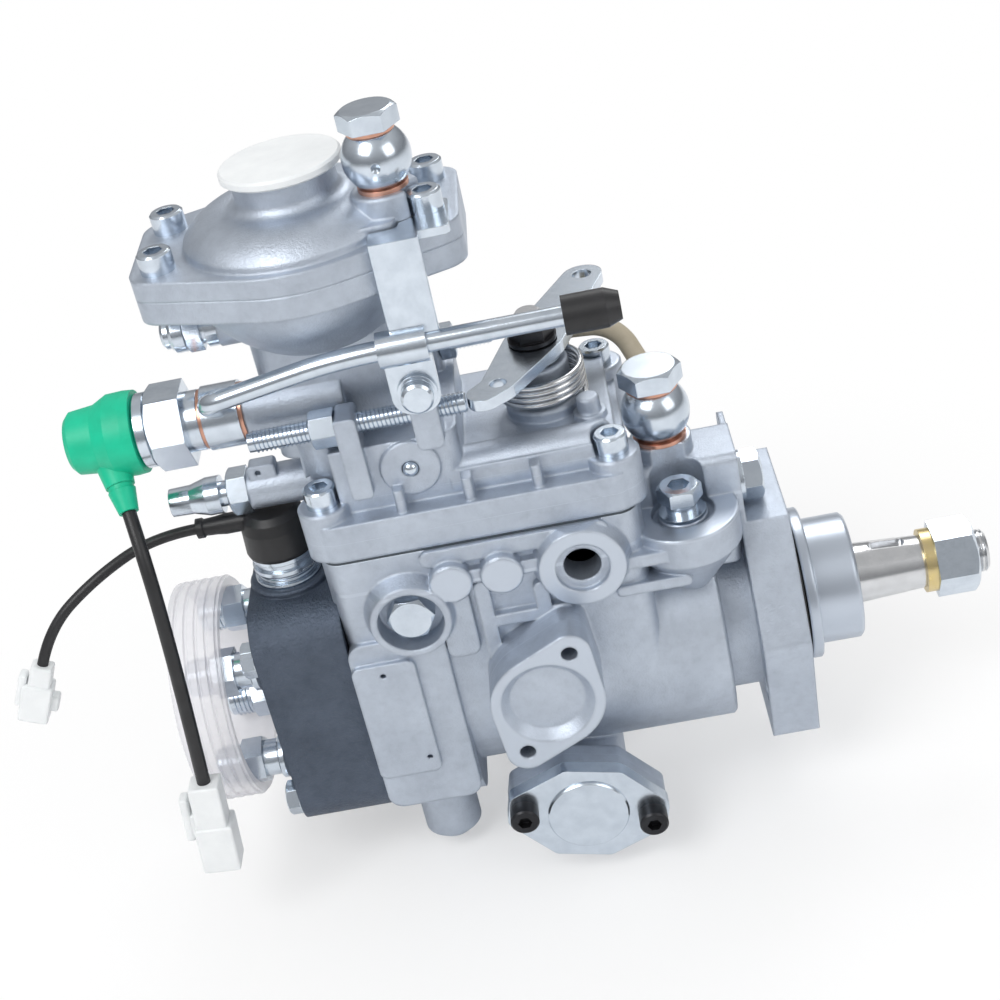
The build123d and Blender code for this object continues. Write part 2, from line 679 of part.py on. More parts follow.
with BuildPart() as hex_bolts:
    for side, wall in ((-1, -box_front), (1, box_rear)):
        seat = along_y(fulcrum_x, side * (wall + fulcrum_face - 8), fulcrum_z, side)
        hex_bolt(seat, 2 * fulcrum_pin, 16.0, 13.0, 6.5)
    for hole_y, hole_z in bolt_circle(head_bolt_offset):
        hex_bolt(along_x(head_face, hole_y, hole_z, -1), 6.0, head_length + 14, 10.0, 5.5, collar=6.0)
    bolt_seat = along_y(bracket_bolt_x, lug_front - bracket_thickness, bracket_bolt_z)
    rod(bolt_seat, 3.0, -bracket_thickness - 7.5, 0)
    rod(bolt_seat, 5.8, 0, 1.2)
    rod(bolt_seat, 4.7, 1.2, 5.0, edge=0.8)
hex_bolts.part.label = "hex_bolts"
export_step(hex_bolts.part, "parts/hex_bolts.step")

# Banjo unions on the inlet and on the boost compensator
inlet_ball_radius = 10.5
inlet_ball_half = 8.2
inlet_ball_z = inlet_seat + inlet_washer + inlet_ball_half
boost_ball_radius = 9.8
boost_ball_half = 7.6
boost_ball_z = boost_banjo_seat + inlet_washer + boost_ball_half
boost_bolt_radius = 4.0
hose_radius = 3.2


def ball_ring(plane, radius, half, bore):
    """Adds a ball with flat ends and a through bore along the plane's normal."""
    edge = sqrt(radius**2 - half**2)
    side = Plane(origin=plane.origin, x_dir=plane.z_dir, z_dir=plane.y_dir)
    with BuildSketch(side, mode=Mode.PRIVATE) as section:
        with BuildLine():
            ThreePointArc((-half, edge), (0, radius), (half, edge))
            Polyline((half, edge), (half, bore), (-half, bore), (-half, edge))
        make_face()
    revolve(section.sketch, axis=Axis(plane.origin, plane.z_dir))


with BuildPart() as banjo_fittings:
    ball_ring(along_z(inlet_x, inlet_y, inlet_ball_z), inlet_ball_radius, inlet_ball_half, 6.5)
    ring(along_y(inlet_x, inlet_y, inlet_ball_z, 1), 4.2, 2.0, 7.5, 11.5)
    ball_ring(along_z(boost_banjo_x, boost_banjo_y, boost_ball_z), boost_ball_radius, boost_ball_half, 5.5)
    turned(
        along_y(boost_banjo_x, boost_banjo_y, boost_ball_z),
        [(boost_ball_radius + 1, 0), (boost_ball_radius + 1, 2.4), (boost_ball_radius - 1.6, 0)],
        Mode.SUBTRACT,
    )
banjo_fittings.part.label = "banjo_fittings"
export_step(banjo_fittings.part, "parts/banjo_fittings.step")

with BuildPart() as banjo_bolts:
    inlet_top = along_z(inlet_x, inlet_y, inlet_ball_z + inlet_ball_half + inlet_washer)
    hex_bolt(inlet_top, 2 * inlet_thread_radius, 32.0, 17.0, 6.0)
    boost_top = along_z(boost_banjo_x, boost_banjo_y, boost_ball_z + boost_ball_half + inlet_washer)
    hex_bolt(boost_top, 2 * boost_bolt_radius, 30.0, 15.0, 5.5)
banjo_bolts.part.label = "banjo_bolts"
export_step(banjo_bolts.part, "parts/banjo_bolts.step")

# Charge pressure switch on its banjo union, with the pipe's eye between two washers
switch_washer = 1.2
eye_length = 11.0
eye_radius = 9.8
eye_bore = 7.0
eye_right = switch_boss_end - switch_washer
eye_left = eye_right - eye_length
switch_face = eye_left - switch_washer

with BuildPart() as copper_washers:
    ring(along_z(inlet_x, inlet_y, inlet_seat), 8.2, inlet_thread_radius + 0.1, 0, inlet_washer)
    ring(inlet_top, 8.0, inlet_thread_radius + 0.1, -inlet_washer, 0)
    ring(along_z(boost_banjo_x, boost_banjo_y, boost_banjo_seat), 7.2, boost_bolt_radius + 0.1, 0, inlet_washer)
    ring(boost_top, 6.8, boost_bolt_radius + 0.1, -inlet_washer, 0)
    for face in (switch_boss_end, eye_left):
        ring(along_x(face, switch_y, switch_z, -1), 9.0, switch_thread_radius + 0.1, 0, switch_washer)
copper_washers.part.label = "copper_washers"
export_step(copper_washers.part, "parts/copper_washers.step")

switch_hex_flats = 23.0
switch_ring_end = 19.4
boot_face = switch_face - switch_ring_end

with BuildPart() as switch_body:
    switch_axis = along_x(switch_face, switch_y, switch_z, -1)
    rod(switch_axis, switch_thread_radius, -28, 0)
    rod(switch_axis, 9.2, 0, 4.2)
    hexagon(switch_axis.offset(4.2), switch_hex_flats, 11.5)
    rod(switch_axis, 11.4, 15.7, switch_ring_end, edge=0.8)
    rod(switch_axis, 5.0, switch_ring_end, switch_ring_end + 6)
switch_body.part.label = "switch_body"
export_step(switch_body.part, "parts/switch_body.step")

boot_out = Vector(2.6, -9.5, -9.8).normalized()
boot_root = Vector(boot_face - 9.5, switch_y - 6, switch_z - 7)
cord_exit = boot_root + boot_out * 15.0

with BuildPart() as switch_boot:
    boot_axis = along_x(boot_face, switch_y, switch_z, -1)
    turned(
        boot_axis,
        [(0, 0), (0, 12.6), (3, 12.9), (8, 12.7), (12.5, 10.4), (20, 9.6), (21.5, 8), (21.5, 0)],
    )
    turned(
        Plane(origin=tuple(boot_root), z_dir=tuple(boot_out)),
        [(0, 0), (0, 5.2), (6.5, 4.4), (6.5, 3.9), (8, 3.9), (8, 4.2), (15, 3.0), (15, 0)],
    )
    rod(boot_axis, 5.0 + sliding, -1, 6.3, Mode.SUBTRACT)
switch_boot.part.label = "switch_boot"
export_step(switch_boot.part, "parts/switch_boot.step")

# Boost pipe from the eye to its open end in front of the lever
pipe_radius = 3.0
pipe_y = -41.0
pipe_z = 131.5
pipe_end = -46.0


def rounded_path(points, shares):
    """A path of straight runs and tangent arcs; each arc takes a share of its shorter run."""
    corners = [Vector(*point) for point in points]
    radii = []
    for before, here, after, share in zip(corners, corners[1:], corners[2:], shares):
        turn = radians((here - before).get_angle(after - here))
        shorter = min((here - before).length, (after - here).length)
        radii.append(share * shorter / tan(turn / 2))
    return corners, radii


def tube(points, radius, share=0.45):
    """Adds a round tube along a path through the points."""
    corners, radii = rounded_path(points, [share] * (len(points) - 2))
    with BuildLine(mode=Mode.PRIVATE) as path:
        FilletPolyline(*[tuple(corner) for corner in corners], radius=radii)
    wire = path.wire()
    with BuildSketch(Plane(origin=wire @ 0, z_dir=wire % 0), mode=Mode.PRIVATE) as section:
        Circle(radius)
    sweep(section.sketch, path=wire)


with BuildPart() as boost_pipe:
    eye = along_x(eye_right, switch_y, switch_z, -1)
    ring(eye, eye_radius, eye_bore, 0, eye_length)
    eye_middle = eye_right - eye_length / 2
    tube(
        [
            (eye_middle, switch_y - 6.6, switch_z + 6.0),
            (eye_middle, switch_y - 22, switch_z + 15),
            (-120, pipe_y, pipe_z),
            (pipe_end, pipe_y, pipe_z),
        ],
        pipe_radius,
        0.3,
    )
boost_pipe.part.label = "boost_pipe"
export_step(boost_pipe.part, "parts/boost_pipe.step")

with BuildPart() as pipe_end_cap:
    turned(
        along_x(pipe_end - 10, pipe_y, pipe_z),
        [(0, 3.05), (0, 5.6), (12, 5.6), (16, 4.0), (16, 0), (10, 0), (10, 3.05)],
    )
pipe_end_cap.part.label = "pipe_end_cap"
export_step(pipe_end_cap.part, "parts/pipe_end_cap.step")

# Bracket that hangs from the compensator's ear and clips the pipe
strip = (-104.0, -90.0)
clip = (-108.0, -94.0)
strip_face = -38.8

with BuildPart() as pipe_bracket:
    block((strip[0], -81.5), (-37, -17.0), (boost_flange_top, boost_flange_top + bracket_thickness), 2)
    block(
        strip,
        (strip_face - bracket_thickness, strip_face),
        (pipe_z, boost_flange_top + bracket_thickness),
        0.6,
        "z",
    )
    block(
        strip,
        (strip_face - bracket_thickness, -30),
        (boost_flange_top, boost_flange_top + bracket_thickness),
        0.6,
    )
    ring(along_x(clip[0], pipe_y, pipe_z), pipe_radius + 2.2, 0.0, 0, clip[1] - clip[0])
    block(clip, (lug_front - bracket_thickness, lug_front), (bracket_bolt_z - 7, pipe_z), 6, "y")
    rod(along_x(-120, pipe_y, pipe_z), pipe_radius + sliding, 0, 40, Mode.SUBTRACT)
    block((-112, -95.5), (boost_y - 24.5, boost_y - 6), (155, 166), 3, mode=Mode.SUBTRACT)
    rod(along_z(boost_banjo_x, boost_banjo_y, 150), 9.9, 0, 20, Mode.SUBTRACT)
    rod(along_z(boost_x + boost_ear_x, boost_y - boost_ear_y, 150), 3.3, 0, 20, Mode.SUBTRACT)
    rod(along_y(bracket_bolt_x, lug_front, bracket_bolt_z), 3.2, -1, 5, Mode.SUBTRACT)
pipe_bracket.part.label = "pipe_bracket"
export_step(pipe_bracket.part, "parts/pipe_bracket.step")

with BuildPart() as boost_port_cap:
    turned(
        along_z(boost_x, boost_y, boost_neck_top),
        [
            (-8, 9.5),
            (-8, 11.6),
            (0, 12.0),
            (0, 17.0),
            (0.6, 17.7),
            (2.2, 17.7),
            (3, 17.0),
            (3, 0),
            (1.4, 0),
            (1.4, 9.5),
        ],
    )
boost_port_cap.part.label = "boost_port_cap"
export_step(boost_port_cap.part, "parts/boost_port_cap.step")

# Adjusting screws and their lock nuts
lever_bottom = 103.0
lever_thickness = 3.5
stop_screw_tip = -88.2
max_screw_tip = -79.5

with BuildPart() as full_load_screw:
    rod(along_x(full_load_end, full_load_y, full_load_z, -1), 4.0, -22, 24, edge=0.8)
    turned(
        along_x(full_load_end, full_load_y, full_load_z, -1),
        [(9, 0), (9, 6.0), (13.5, 6.0), (18.5, 4.6), (25, 4.4), (25, 0)],
    )
full_load_screw.part.label = "full_load_screw"
export_step(full_load_screw.part, "parts/full_load_screw.step")

with BuildPart() as speed_screws:
    rod(along_x(-153, stop_screw_y, stop_screw_z), 3.0, 0, stop_screw_tip + 153, edge=0.5)
    rod(along_x(max_lug_x - 3, max_screw_y, max_screw_z), 3.0, 0, max_screw_tip - max_lug_x + 3, edge=0.5)
speed_screws.part.label = "speed_screws"
export_step(speed_screws.part, "parts/speed_screws.step")

with BuildPart() as lock_nuts:
    nut_faces = (
        (along_x(full_load_end, full_load_y, full_load_z, -1), 13.0, 6.5, 4.0),
        (along_x(left_lug[0], stop_screw_y, stop_screw_z, -1), 10.0, 7.5, 3.0),
        (along_x(max_lug_x + 3, max_screw_y, max_screw_z), 10.0, 5.0, 3.0),
    )
    for seat, flats, height, thread in nut_faces:
        hexagon(seat, flats, height)
        rod(seat, thread + thread_gap, -1, height + 1, Mode.SUBTRACT)
lock_nuts.part.label = "lock_nuts"
export_step(lock_nuts.part, "parts/lock_nuts.step")

# Distributor head
holder_offset = outlet_circle_radius / sqrt(2)
holder_boss_radius = 8.0
barrel_piece_radius = 9.0
barrel_piece_left = head_face + 10.5
spigot_right = -136.5
plunger_radius = 5.0
solenoid_thread_radius = 9.0
solenoid_thread_end = 36.0
armature_radius = 4.0

with BuildPart() as distributor_head:
    block((head_face, -housing_length), (box_front, head_rear), (head_bottom, head_top), head_corner, "x")
    rod(along_x(-housing_length - 2), chamber_radius - 0.1, 0, spigot_right + housing_length + 2, edge=0.6)
    for place_y, place_z in bolt_circle(holder_offset):
        rod(along_x(head_face + 1, place_y, place_z, -1), holder_boss_radius, 0, 5, edge=0.6)
    rod(along_z(solenoid_x, solenoid_y, head_top - 6), 12.8, 0, solenoid_seat - head_top + 6, edge=0.6)
    rod(along_x(head_face + 1, 0, 0, -1), 13.0, 0, 1.6, edge=0.4)
    rod(along_x(head_face + 1.6, 0, 0, -1), 13.5, 0, 4, Mode.SUBTRACT)
    # Bores
    rod(along_x(head_face - 1), centre_plug_radius, 0, 12, Mode.SUBTRACT)
    rod(along_x(head_face + 10), barrel_piece_radius + sliding, 0, 40, Mode.SUBTRACT)
    for place_y, place_z in bolt_circle(holder_offset):
        rod(along_x(holder_seat - 1, place_y, place_z), 6 + thread_gap, 0, 16, Mode.SUBTRACT)
    for place_y, place_z in bolt_circle(head_bolt_offset):
        rod(along_x(head_face - 1, place_y, place_z), 3.3, 0, head_length + 2, Mode.SUBTRACT)
    solenoid_top = along_z(solenoid_x, solenoid_y, solenoid_seat)
    rod(solenoid_top, solenoid_thread_radius + thread_gap, solenoid_thread_end - solenoid_seat - 1, 1, Mode.SUBTRACT)
    rod(solenoid_top, armature_radius + 1, 28 - solenoid_seat, 0, Mode.SUBTRACT)
distributor_head.part.label = "distributor_head"
export_step(distributor_head.part, "parts/distributor_head.step")

holder_hex_flats = 14.0
holder_hex_left = -188.5
holder_end = -197.0
holder_thread_radius = 6.0
with BuildPart() as delivery_holders:
    for place_y, place_z in bolt_circle(holder_offset):
        seat = along_x(holder_seat, place_y, place_z, -1)
        hex_start = 181 + holder_seat
        rod(seat, holder_thread_radius, -13, 0)
        rod(seat, 7.4, 0, 2.0, edge=0.4)
        rod(seat, holder_thread_radius, 0, hex_start + 1)
        outward = Plane(
            origin=(-181, place_y, place_z),
            x_dir=Vector(0, -place_z, place_y).normalized(),
            z_dir=(-1, 0, 0),
        )
        hexagon(outward, holder_hex_flats, -181 - holder_hex_left)
        tip = along_x(holder_hex_left, place_y, place_z, -1)
        reach = holder_hex_left - holder_end
        rod(tip, holder_thread_radius, -1, reach, edge=0.8)
        turned(
            tip,
            [(reach + 0.1, 0), (reach + 0.1, 3.6), (reach - 4, 1.2), (reach - 18, 1.2), (reach - 18, 0)],
            Mode.SUBTRACT,
        )
delivery_holders.part.label = "delivery_holders"
export_step(delivery_holders.part, "parts/delivery_holders.step")

# Transport ring pushed over the delivery outlets
transport_inner = 33.5
transport_left = -201.0
transport_right = -184.0
with BuildPart() as transport_ring:
    ridges = []
    for rib in range(5):
        left = transport_left + 3.4 * rib
        ridges += [(left + 0.3, 37.0), (left + 2.3, 37.2), (left + 2.6, 36.3), (left + 3.1, 36.3)]
    start = [(transport_left, transport_inner), (transport_left, 36.3)]
    end = [(transport_right, 36.3), (transport_right, transport_inner)]
    turned(along_x(0), start + ridges + end)
transport_ring.part.label = "transport_ring"
export_step(transport_ring.part, "parts/transport_ring.step")

with BuildPart() as distributor_barrel:
    ring(along_x(0), barrel_piece_radius, plunger_radius + running, barrel_piece_left, -124)
distributor_barrel.part.label = "distributor_barrel"
export_step(distributor_barrel.part, "parts/distributor_barrel.step")

# Fuel shut-off solenoid
sleeve_z = 68.3
sleeve_end = -181.0
with BuildPart() as solenoid_body:
    ring(solenoid_top, solenoid_thread_radius, armature_radius + 0.3, solenoid_thread_end - solenoid_seat, 0)
    rod(solenoid_top, 10.6, 0, 1.6)
    rod(solenoid_top, 9.4, 1.6, 4.2)
    rod(solenoid_top, 10.4, 4.2, 5.8)
    rod(solenoid_top, 9.4, 5.8, 8.2)
    rod(solenoid_top, 10.2, 8.2, 9.8)
    rod(solenoid_top, armature_radius + 0.3, -12, 4.5, Mode.SUBTRACT)
solenoid_body.part.label = "solenoid_body"
export_step(solenoid_body.part, "parts/solenoid_body.step")

with BuildPart() as solenoid_boot:
    turned(
        solenoid_top,
        [(9.8, 0), (9.8, 10.6), (11, 11.0), (19, 10.6), (22.5, 9.6), (24.3, 7.6), (24.3, 0)],
    )
    sleeve = along_x(solenoid_x - 6, solenoid_y, sleeve_z, -1)
    sleeve_reach = solenoid_x - 6 - sleeve_end
    turned(
        sleeve,
        [(0, 0), (0, 3.3), (sleeve_reach - 9, 3.3), (sleeve_reach - 6, 2.9), (sleeve_reach - 2.5, 2.7),
         (sleeve_reach - 2, 3.2), (sleeve_reach, 3.2), (sleeve_reach, 0)],
    )
solenoid_boot.part.label = "solenoid_boot"
export_step(solenoid_boot.part, "parts/solenoid_boot.step")

with BuildPart() as solenoid_armature:
    rod(solenoid_top, armature_radius, 32 - solenoid_seat, 2.0, edge=0.5)
    rod(solenoid_top, 2.5, 29.5 - solenoid_seat, 33 - solenoid_seat)
solenoid_armature.part.label = "solenoid_armature"
export_step(solenoid_armature.part, "parts/solenoid_armature.step")

# Wires and their plugs
switch_cord_radius = 2.15
solenoid_cord_radius = 1.75
switch_cord_bend = cord_exit + boot_out * 14.0
switch_route = [
    tuple(cord_exit),
    tuple(switch_cord_bend),
    (-190.5, -44.5, 60.0),
    (-191.6, -48.5, 30.0),
    (-193.8, -50.5, 0.0),
]
solenoid_route = [
    (sleeve_end, solenoid_y, sleeve_z),
    (-195.0, solenoid_y, sleeve_z),
    (-214.0, -20.0, 63.5),
    (-231.5, -27.0, 52.5),
    (-237.2, -29.0, 40.0),
]

with BuildPart() as switch_cord:
    tube(switch_route, switch_cord_radius)
switch_cord.part.label = "switch_cord"
export_step(switch_cord.part, "parts/switch_cord.step")

with BuildPart() as solenoid_cord:
    tube(solenoid_route, solenoid_cord_radius)
solenoid_cord.part.label = "solenoid_cord"
export_step(solenoid_cord.part, "parts/solenoid_cord.step")


def plug_plane(route):
    """The plane at a route's end, its normal along the last run, its x towards +X."""
    direction = (Vector(*route[-1]) - Vector(*route[-2])).normalized()
    return Plane(origin=route[-1], x_dir=Vector(0, 1, 0).cross(direction), z_dir=direction)


def plug_box(plane, across, deep, start, end, mode=Mode.ADD, radius=0.0):
    """Adds a box on a plug's plane from (low, high) limits along its two directions."""
    with BuildSketch(plane.offset(start), mode=Mode.PRIVATE) as section:
        with Locations(((across[0] + across[1]) / 2, (deep[0] + deep[1]) / 2)):
            width, height = across[1] - across[0], deep[1] - deep[0]
            if radius:
                RectangleRounded(width, height, radius)
            else:
                Rectangle(width, height)
    extrude(section.sketch, amount=end - start, mode=mode)


with BuildPart() as switch_plug:
    end_plane = plug_plane(switch_route)
    plug_box(end_plane, (-6.2, 6.2), (-5.5, 5.5), 0, 15.0, radius=1.2)
    plug_box(end_plane, (-7.0, 7.0), (-6.2, 6.2), 15.0, 34.0, radius=1.8)
    for side in (-1, 1):
        plug_box(end_plane, (side * 8.0 - 1.9, side * 8.0 + 1.9), (-3.0, 3.0), 4.0, 22.0)
    plug_box(end_plane, (-5.0, 5.0), (-4.2, 4.2), 26.0, 35.0, Mode.SUBTRACT)
    plug_box(end_plane, (-1.2, 1.2), (-2.5, 2.5), 25.0, 33.0)
switch_plug.part.label = "switch_plug"
export_step(switch_plug.part, "parts/switch_plug.step")

with BuildPart() as solenoid_plug:
    end_plane = plug_plane(solenoid_route)
    plug_box(end_plane, (-4.0, 4.0), (-4.0, 4.0), 0, 7.0, radius=1.0)
    plug_box(end_plane, (-6.2, 6.2), (-5.4, 5.4), 5.5, 17.5, radius=1.4)
    for side in (-1, 1):
        plug_box(end_plane, (side * 6.9 - 1.6, side * 6.9 + 1.6), (-2.6, 2.6), 1.5, 13.0)
    plug_box(end_plane, (-4.4, 4.4), (-3.6, 3.6), 12.0, 19.0, Mode.SUBTRACT)
solenoid_plug.part.label = "solenoid_plug"
export_step(solenoid_plug.part, "parts/solenoid_plug.step")

# Return hose from the inlet banjo to the cover's nipple
with BuildPart() as return_hose:
    tube(
        [
            (inlet_x, inlet_y + 11.5, inlet_ball_z),
            (inlet_x, inlet_y + 24.0, inlet_ball_z),
            (inlet_x - 7, inlet_y + 33, inlet_ball_z + 15),
            (hose_nipple_x, hose_nipple_y, hose_nipple_top + 11.5),
            (hose_nipple_x, hose_nipple_y, hose_nipple_top),
        ],
        hose_radius,
    )
return_hose.part.label = "return_hose"
export_step(return_hose.part, "parts/return_hose.step")

# Seals and bearing of the drive shaft
with BuildPart() as pilot_o_ring:
    groove_middle = (ring_groove_radius + register_radius) / 2
    with BuildSketch(Plane.XY, mode=Mode.PRIVATE) as section:
        with Locations((ring_groove_end / 2, groove_middle)):
            Circle(ring_groove_end / 2 - 0.08)
    revolve(section.sketch, axis=Axis.X)
pilot_o_ring.part.label = "pilot_o_ring"
export_step(pilot_o_ring.part, "parts/pilot_o_ring.step")

with BuildPart() as shaft_seal:
    lip = shaft_radius + running
    outer = seal_radius - sliding
    turned(
        along_x(seal_left),
        [(0, lip + 2), (0, outer), (7, outer), (7, lip + 2.5), (5.5, lip), (3, lip), (2.4, lip + 2)],
    )
shaft_seal.part.label = "shaft_seal"
export_step(shaft_seal.part, "parts/shaft_seal.step")

with BuildPart() as shaft_bush:
    ring(along_x(0), bush_radius - sliding, shaft_radius + running, pump_pocket_right + 0.3, seal_left - 0.3)
shaft_bush.part.label = "shaft_bush"
export_step(shaft_bush.part, "parts/shaft_bush.step")

# Drive line
shaft_left = -57.0
taper_start = 20.0
taper_end = 43.0
taper_end_radius = 8.7
shaft_thread_radius = 7.0
shaft_end = 64.0
tongue_left = -92.0
tongue_half = 3.5
tongue_reach = 10.0
lift = 2.2
roller_radius = 4.0
roller_x = -83.0
lobe_clearance = 0.1
lobe_half_width = 8.1
plate_right = roller_x - roller_radius - lobe_clearance - lift
plate_left = plate_right - 7.0

with BuildPart() as drive_shaft:
    turned(
        along_x(0),
        [
            (shaft_left, 0),
            (shaft_left, shaft_radius),
            (taper_start, shaft_radius),
            (taper_end, taper_end_radius),
            (taper_end, shaft_thread_radius),
            (shaft_end - 1, shaft_thread_radius),
            (shaft_end, shaft_thread_radius - 1),
            (shaft_end, 0),
        ],
    )
    for groove in range(2):
        at = 60.6 + 1.5 * groove
        turned(along_x(at), [(0, 7.1), (0.5, 6.5), (1.0, 7.1)], Mode.SUBTRACT)
    block((tongue_left, shaft_left + 1), (-tongue_half, tongue_half), (-tongue_reach, tongue_reach), 0.8, "x")
    block((26, 38), (-2, 2), (6.8, 12), 1.9, "z", Mode.SUBTRACT)
drive_shaft.part.label = "drive_shaft"
export_step(drive_shaft.part, "parts/drive_shaft.step")

with BuildPart() as spring_washer:
    ring(along_x(taper_end), 10.5, shaft_thread_radius + 0.1, 0, 3.5)
spring_washer.part.label = "spring_washer"
export_step(spring_washer.part, "parts/spring_washer.step")

with BuildPart() as shaft_nut:
    hexagon(along_x(taper_end + 3.5), shaft_nut_flats, 13.5)
    rod(along_x(taper_end + 3), shaft_thread_radius + thread_gap, 0, 20, Mode.SUBTRACT)
shaft_nut.part.label = "shaft_nut"
export_step(shaft_nut.part, "parts/shaft_nut.step")

# Vane pump
vane_bore = 21.5
vane_offset = 1.5
rotor_radius = 19.5
vane_ring_left = -43.4

with BuildPart() as vane_pump_ring:
    ring(along_x(0), pump_pocket_radius - 0.1, 0.0, vane_ring_left, pump_pocket_right - 0.1)
    rod(along_x(vane_ring_left - 1, 0, vane_offset), vane_bore, 0, 20, Mode.SUBTRACT)
    ring(along_x(0), pump_pocket_radius - 0.1, shaft_radius + 0.4, pump_pocket_left, vane_ring_left - 0.1)
vane_pump_ring.part.label = "vane_pump_ring"
export_step(vane_pump_ring.part, "parts/vane_pump_ring.step")

with BuildPart() as vane_rotor:
    ring(along_x(0), rotor_radius, shaft_radius + sliding, vane_ring_left + 0.3, pump_pocket_right - 0.4)
    for angle in (45, 135, 225, 315):
        turn = radians(angle)
        edge_plane = Plane(
            origin=(vane_ring_left, 0, 0),
            x_dir=(0, cos(turn), sin(turn)),
            z_dir=(1, 0, 0),
        )
        plug_box(edge_plane, (rotor_radius - 5.5, rotor_radius + 1), (-0.9, 0.9), 0, 14, Mode.SUBTRACT)
vane_rotor.part.label = "vane_rotor"
export_step(vane_rotor.part, "parts/vane_rotor.step")

# Gear pair that speeds the governor up
tooth_gap = 0.3


def gear(plane, teeth, width, bore, start_angle=0.0):
    """Adds a spur gear of the governor's module with straight-sided teeth and a bore."""
    pitch = gear_module * teeth / 2
    root = pitch - 1.2 * gear_module
    tip = pitch + gear_module
    half = pi * gear_module / 4 - tooth_gap / 2
    corners = []
    for tooth in range(teeth):
        middle = start_angle + 2 * pi * tooth / teeth
        widths = ((root, half + 1.2 * gear_module * 0.42), (tip, half - gear_module * 0.42))
        angles = [(radius, wide / radius) for radius, wide in widths]
        sides = [(radius, middle - turn) for radius, turn in angles]
        sides += [(radius, middle + turn) for radius, turn in reversed(angles)]
        corners += [(radius * cos(turn), radius * sin(turn)) for radius, turn in sides]
    with BuildSketch(plane, mode=Mode.PRIVATE) as section:
        with BuildLine():
            Polyline(*corners, close=True)
        make_face()
        Circle(bore, mode=Mode.SUBTRACT)
    extrude(section.sketch, amount=width)


gear_plane = Plane(origin=(gear_left, 0, 0), x_dir=(0, 0, 1), z_dir=(1, 0, 0))
driven_plane = Plane(origin=(gear_left, 0, governor_height), x_dir=(0, 0, -1), z_dir=(1, 0, 0))

with BuildPart() as governor_drive_gear:
    gear(gear_plane, drive_teeth, gear_width, shaft_radius + sliding)
governor_drive_gear.part.label = "governor_drive_gear"
export_step(governor_drive_gear.part, "parts/governor_drive_gear.step")

# Governor
spindle_left = -101.0
spindle_right = -35.0
weight_pivot_x = -61.5
weight_pivot_reach = 15.5
weight_pin_radius = 1.2
weight_half_width = 4.8
sleeve_left = -104.0
sleeve_flange_left = -66.0
sleeve_right = -64.0
lever_pad = sleeve_left - 0.1
ball_height = 9.0
spool_left = -118.0
spool_right = -110.0
spool_radius = 10.0
ball_radius = 2.5

with BuildPart() as governor_spindle:
    rod(along_x(spindle_left, 0, governor_height), spindle_radius, 0, spindle_right - spindle_left)
governor_spindle.part.label = "governor_spindle"
export_step(governor_spindle.part, "parts/governor_spindle.step")

with BuildPart() as flyweight_carrier:
    gear(driven_plane, driven_teeth, gear_width, spindle_radius + running, pi / driven_teeth)
    ring(along_x(0, 0, governor_height), 8.0, spindle_radius + running, -60, gear_left)
    ring(along_x(0, 0, governor_height), 18.0, spindle_radius + running, -57.5, gear_left)
    for quarter in range(4):
        turn = quarter * pi / 2
        outward = Vector(0, cos(turn), sin(turn))
        across = Vector(0, -sin(turn), cos(turn))
        middle = Vector(weight_pivot_x, 0, governor_height) + outward * weight_pivot_reach
        for side in (-1, 1):
            ear = Plane(
                origin=tuple(middle + across * side * (weight_half_width + 0.3)),
                x_dir=(1, 0, 0),
                z_dir=tuple(across * side),
            )
            with BuildSketch(ear, mode=Mode.PRIVATE) as section:
                Circle(2.4)
                with Locations((2.6, 0)):
                    Rectangle(5.0, 4.8)
            extrude(section.sketch, amount=1.8)
        pin = Plane(
            origin=tuple(middle - across * (weight_half_width + 1)),
            x_dir=(1, 0, 0),
            z_dir=tuple(across),
        )
        rod(pin, weight_pin_radius, 0, 2 * weight_half_width + 2)
flyweight_carrier.part.label = "flyweight_carrier"
export_step(flyweight_carrier.part, "parts/flyweight_carrier.step")


def flyweight(quarter):
    """Adds one flyweight, its toe reaching inwards behind the sleeve's flange."""
    turn = quarter * pi / 2
    across = Vector(0, -sin(turn), cos(turn))
    outward = Vector(0, cos(turn), sin(turn))
    profile = [
        (-82, 9.0),
        (-82, 15.5),
        (-80.5, 16.8),
        (-62.5, 17.8),
        (-59.8, 16.8),
        (-59.8, 12.6),
        (-60.9, 11.5),
        (-60.9, 6.9),
        (-63.5, 6.9),
        (-63.5, 9.2),
    ]
    side = Plane(
        origin=tuple(Vector(0, 0, governor_height) - across * weight_half_width),
        x_dir=(1, 0, 0),
        z_dir=tuple(across),
    )
    up = 1 if side.y_dir.dot(outward) > 0 else -1
    with BuildSketch(side, mode=Mode.PRIVATE) as section:
        with BuildLine():
            Polyline(*[(x, up * reach) for x, reach in profile], close=True)
        make_face()
        with Locations((weight_pivot_x, up * weight_pivot_reach)):
            Circle(weight_pin_radius + running, mode=Mode.SUBTRACT)
    extrude(section.sketch, amount=2 * weight_half_width)


with BuildPart() as flyweight_1:
    flyweight(0)
flyweight_1.part.label = "flyweight_1"
export_step(flyweight_1.part, "parts/flyweight_1.step")

with BuildPart() as flyweight_2:
    flyweight(1)
flyweight_2.part.label = "flyweight_2"
export_step(flyweight_2.part, "parts/flyweight_2.step")

with BuildPart() as flyweight_3:
    flyweight(2)
flyweight_3.part.label = "flyweight_3"
export_step(flyweight_3.part, "parts/flyweight_3.step")

with BuildPart() as flyweight_4:
    flyweight(3)
flyweight_4.part.label = "flyweight_4"
export_step(flyweight_4.part, "parts/flyweight_4.step")

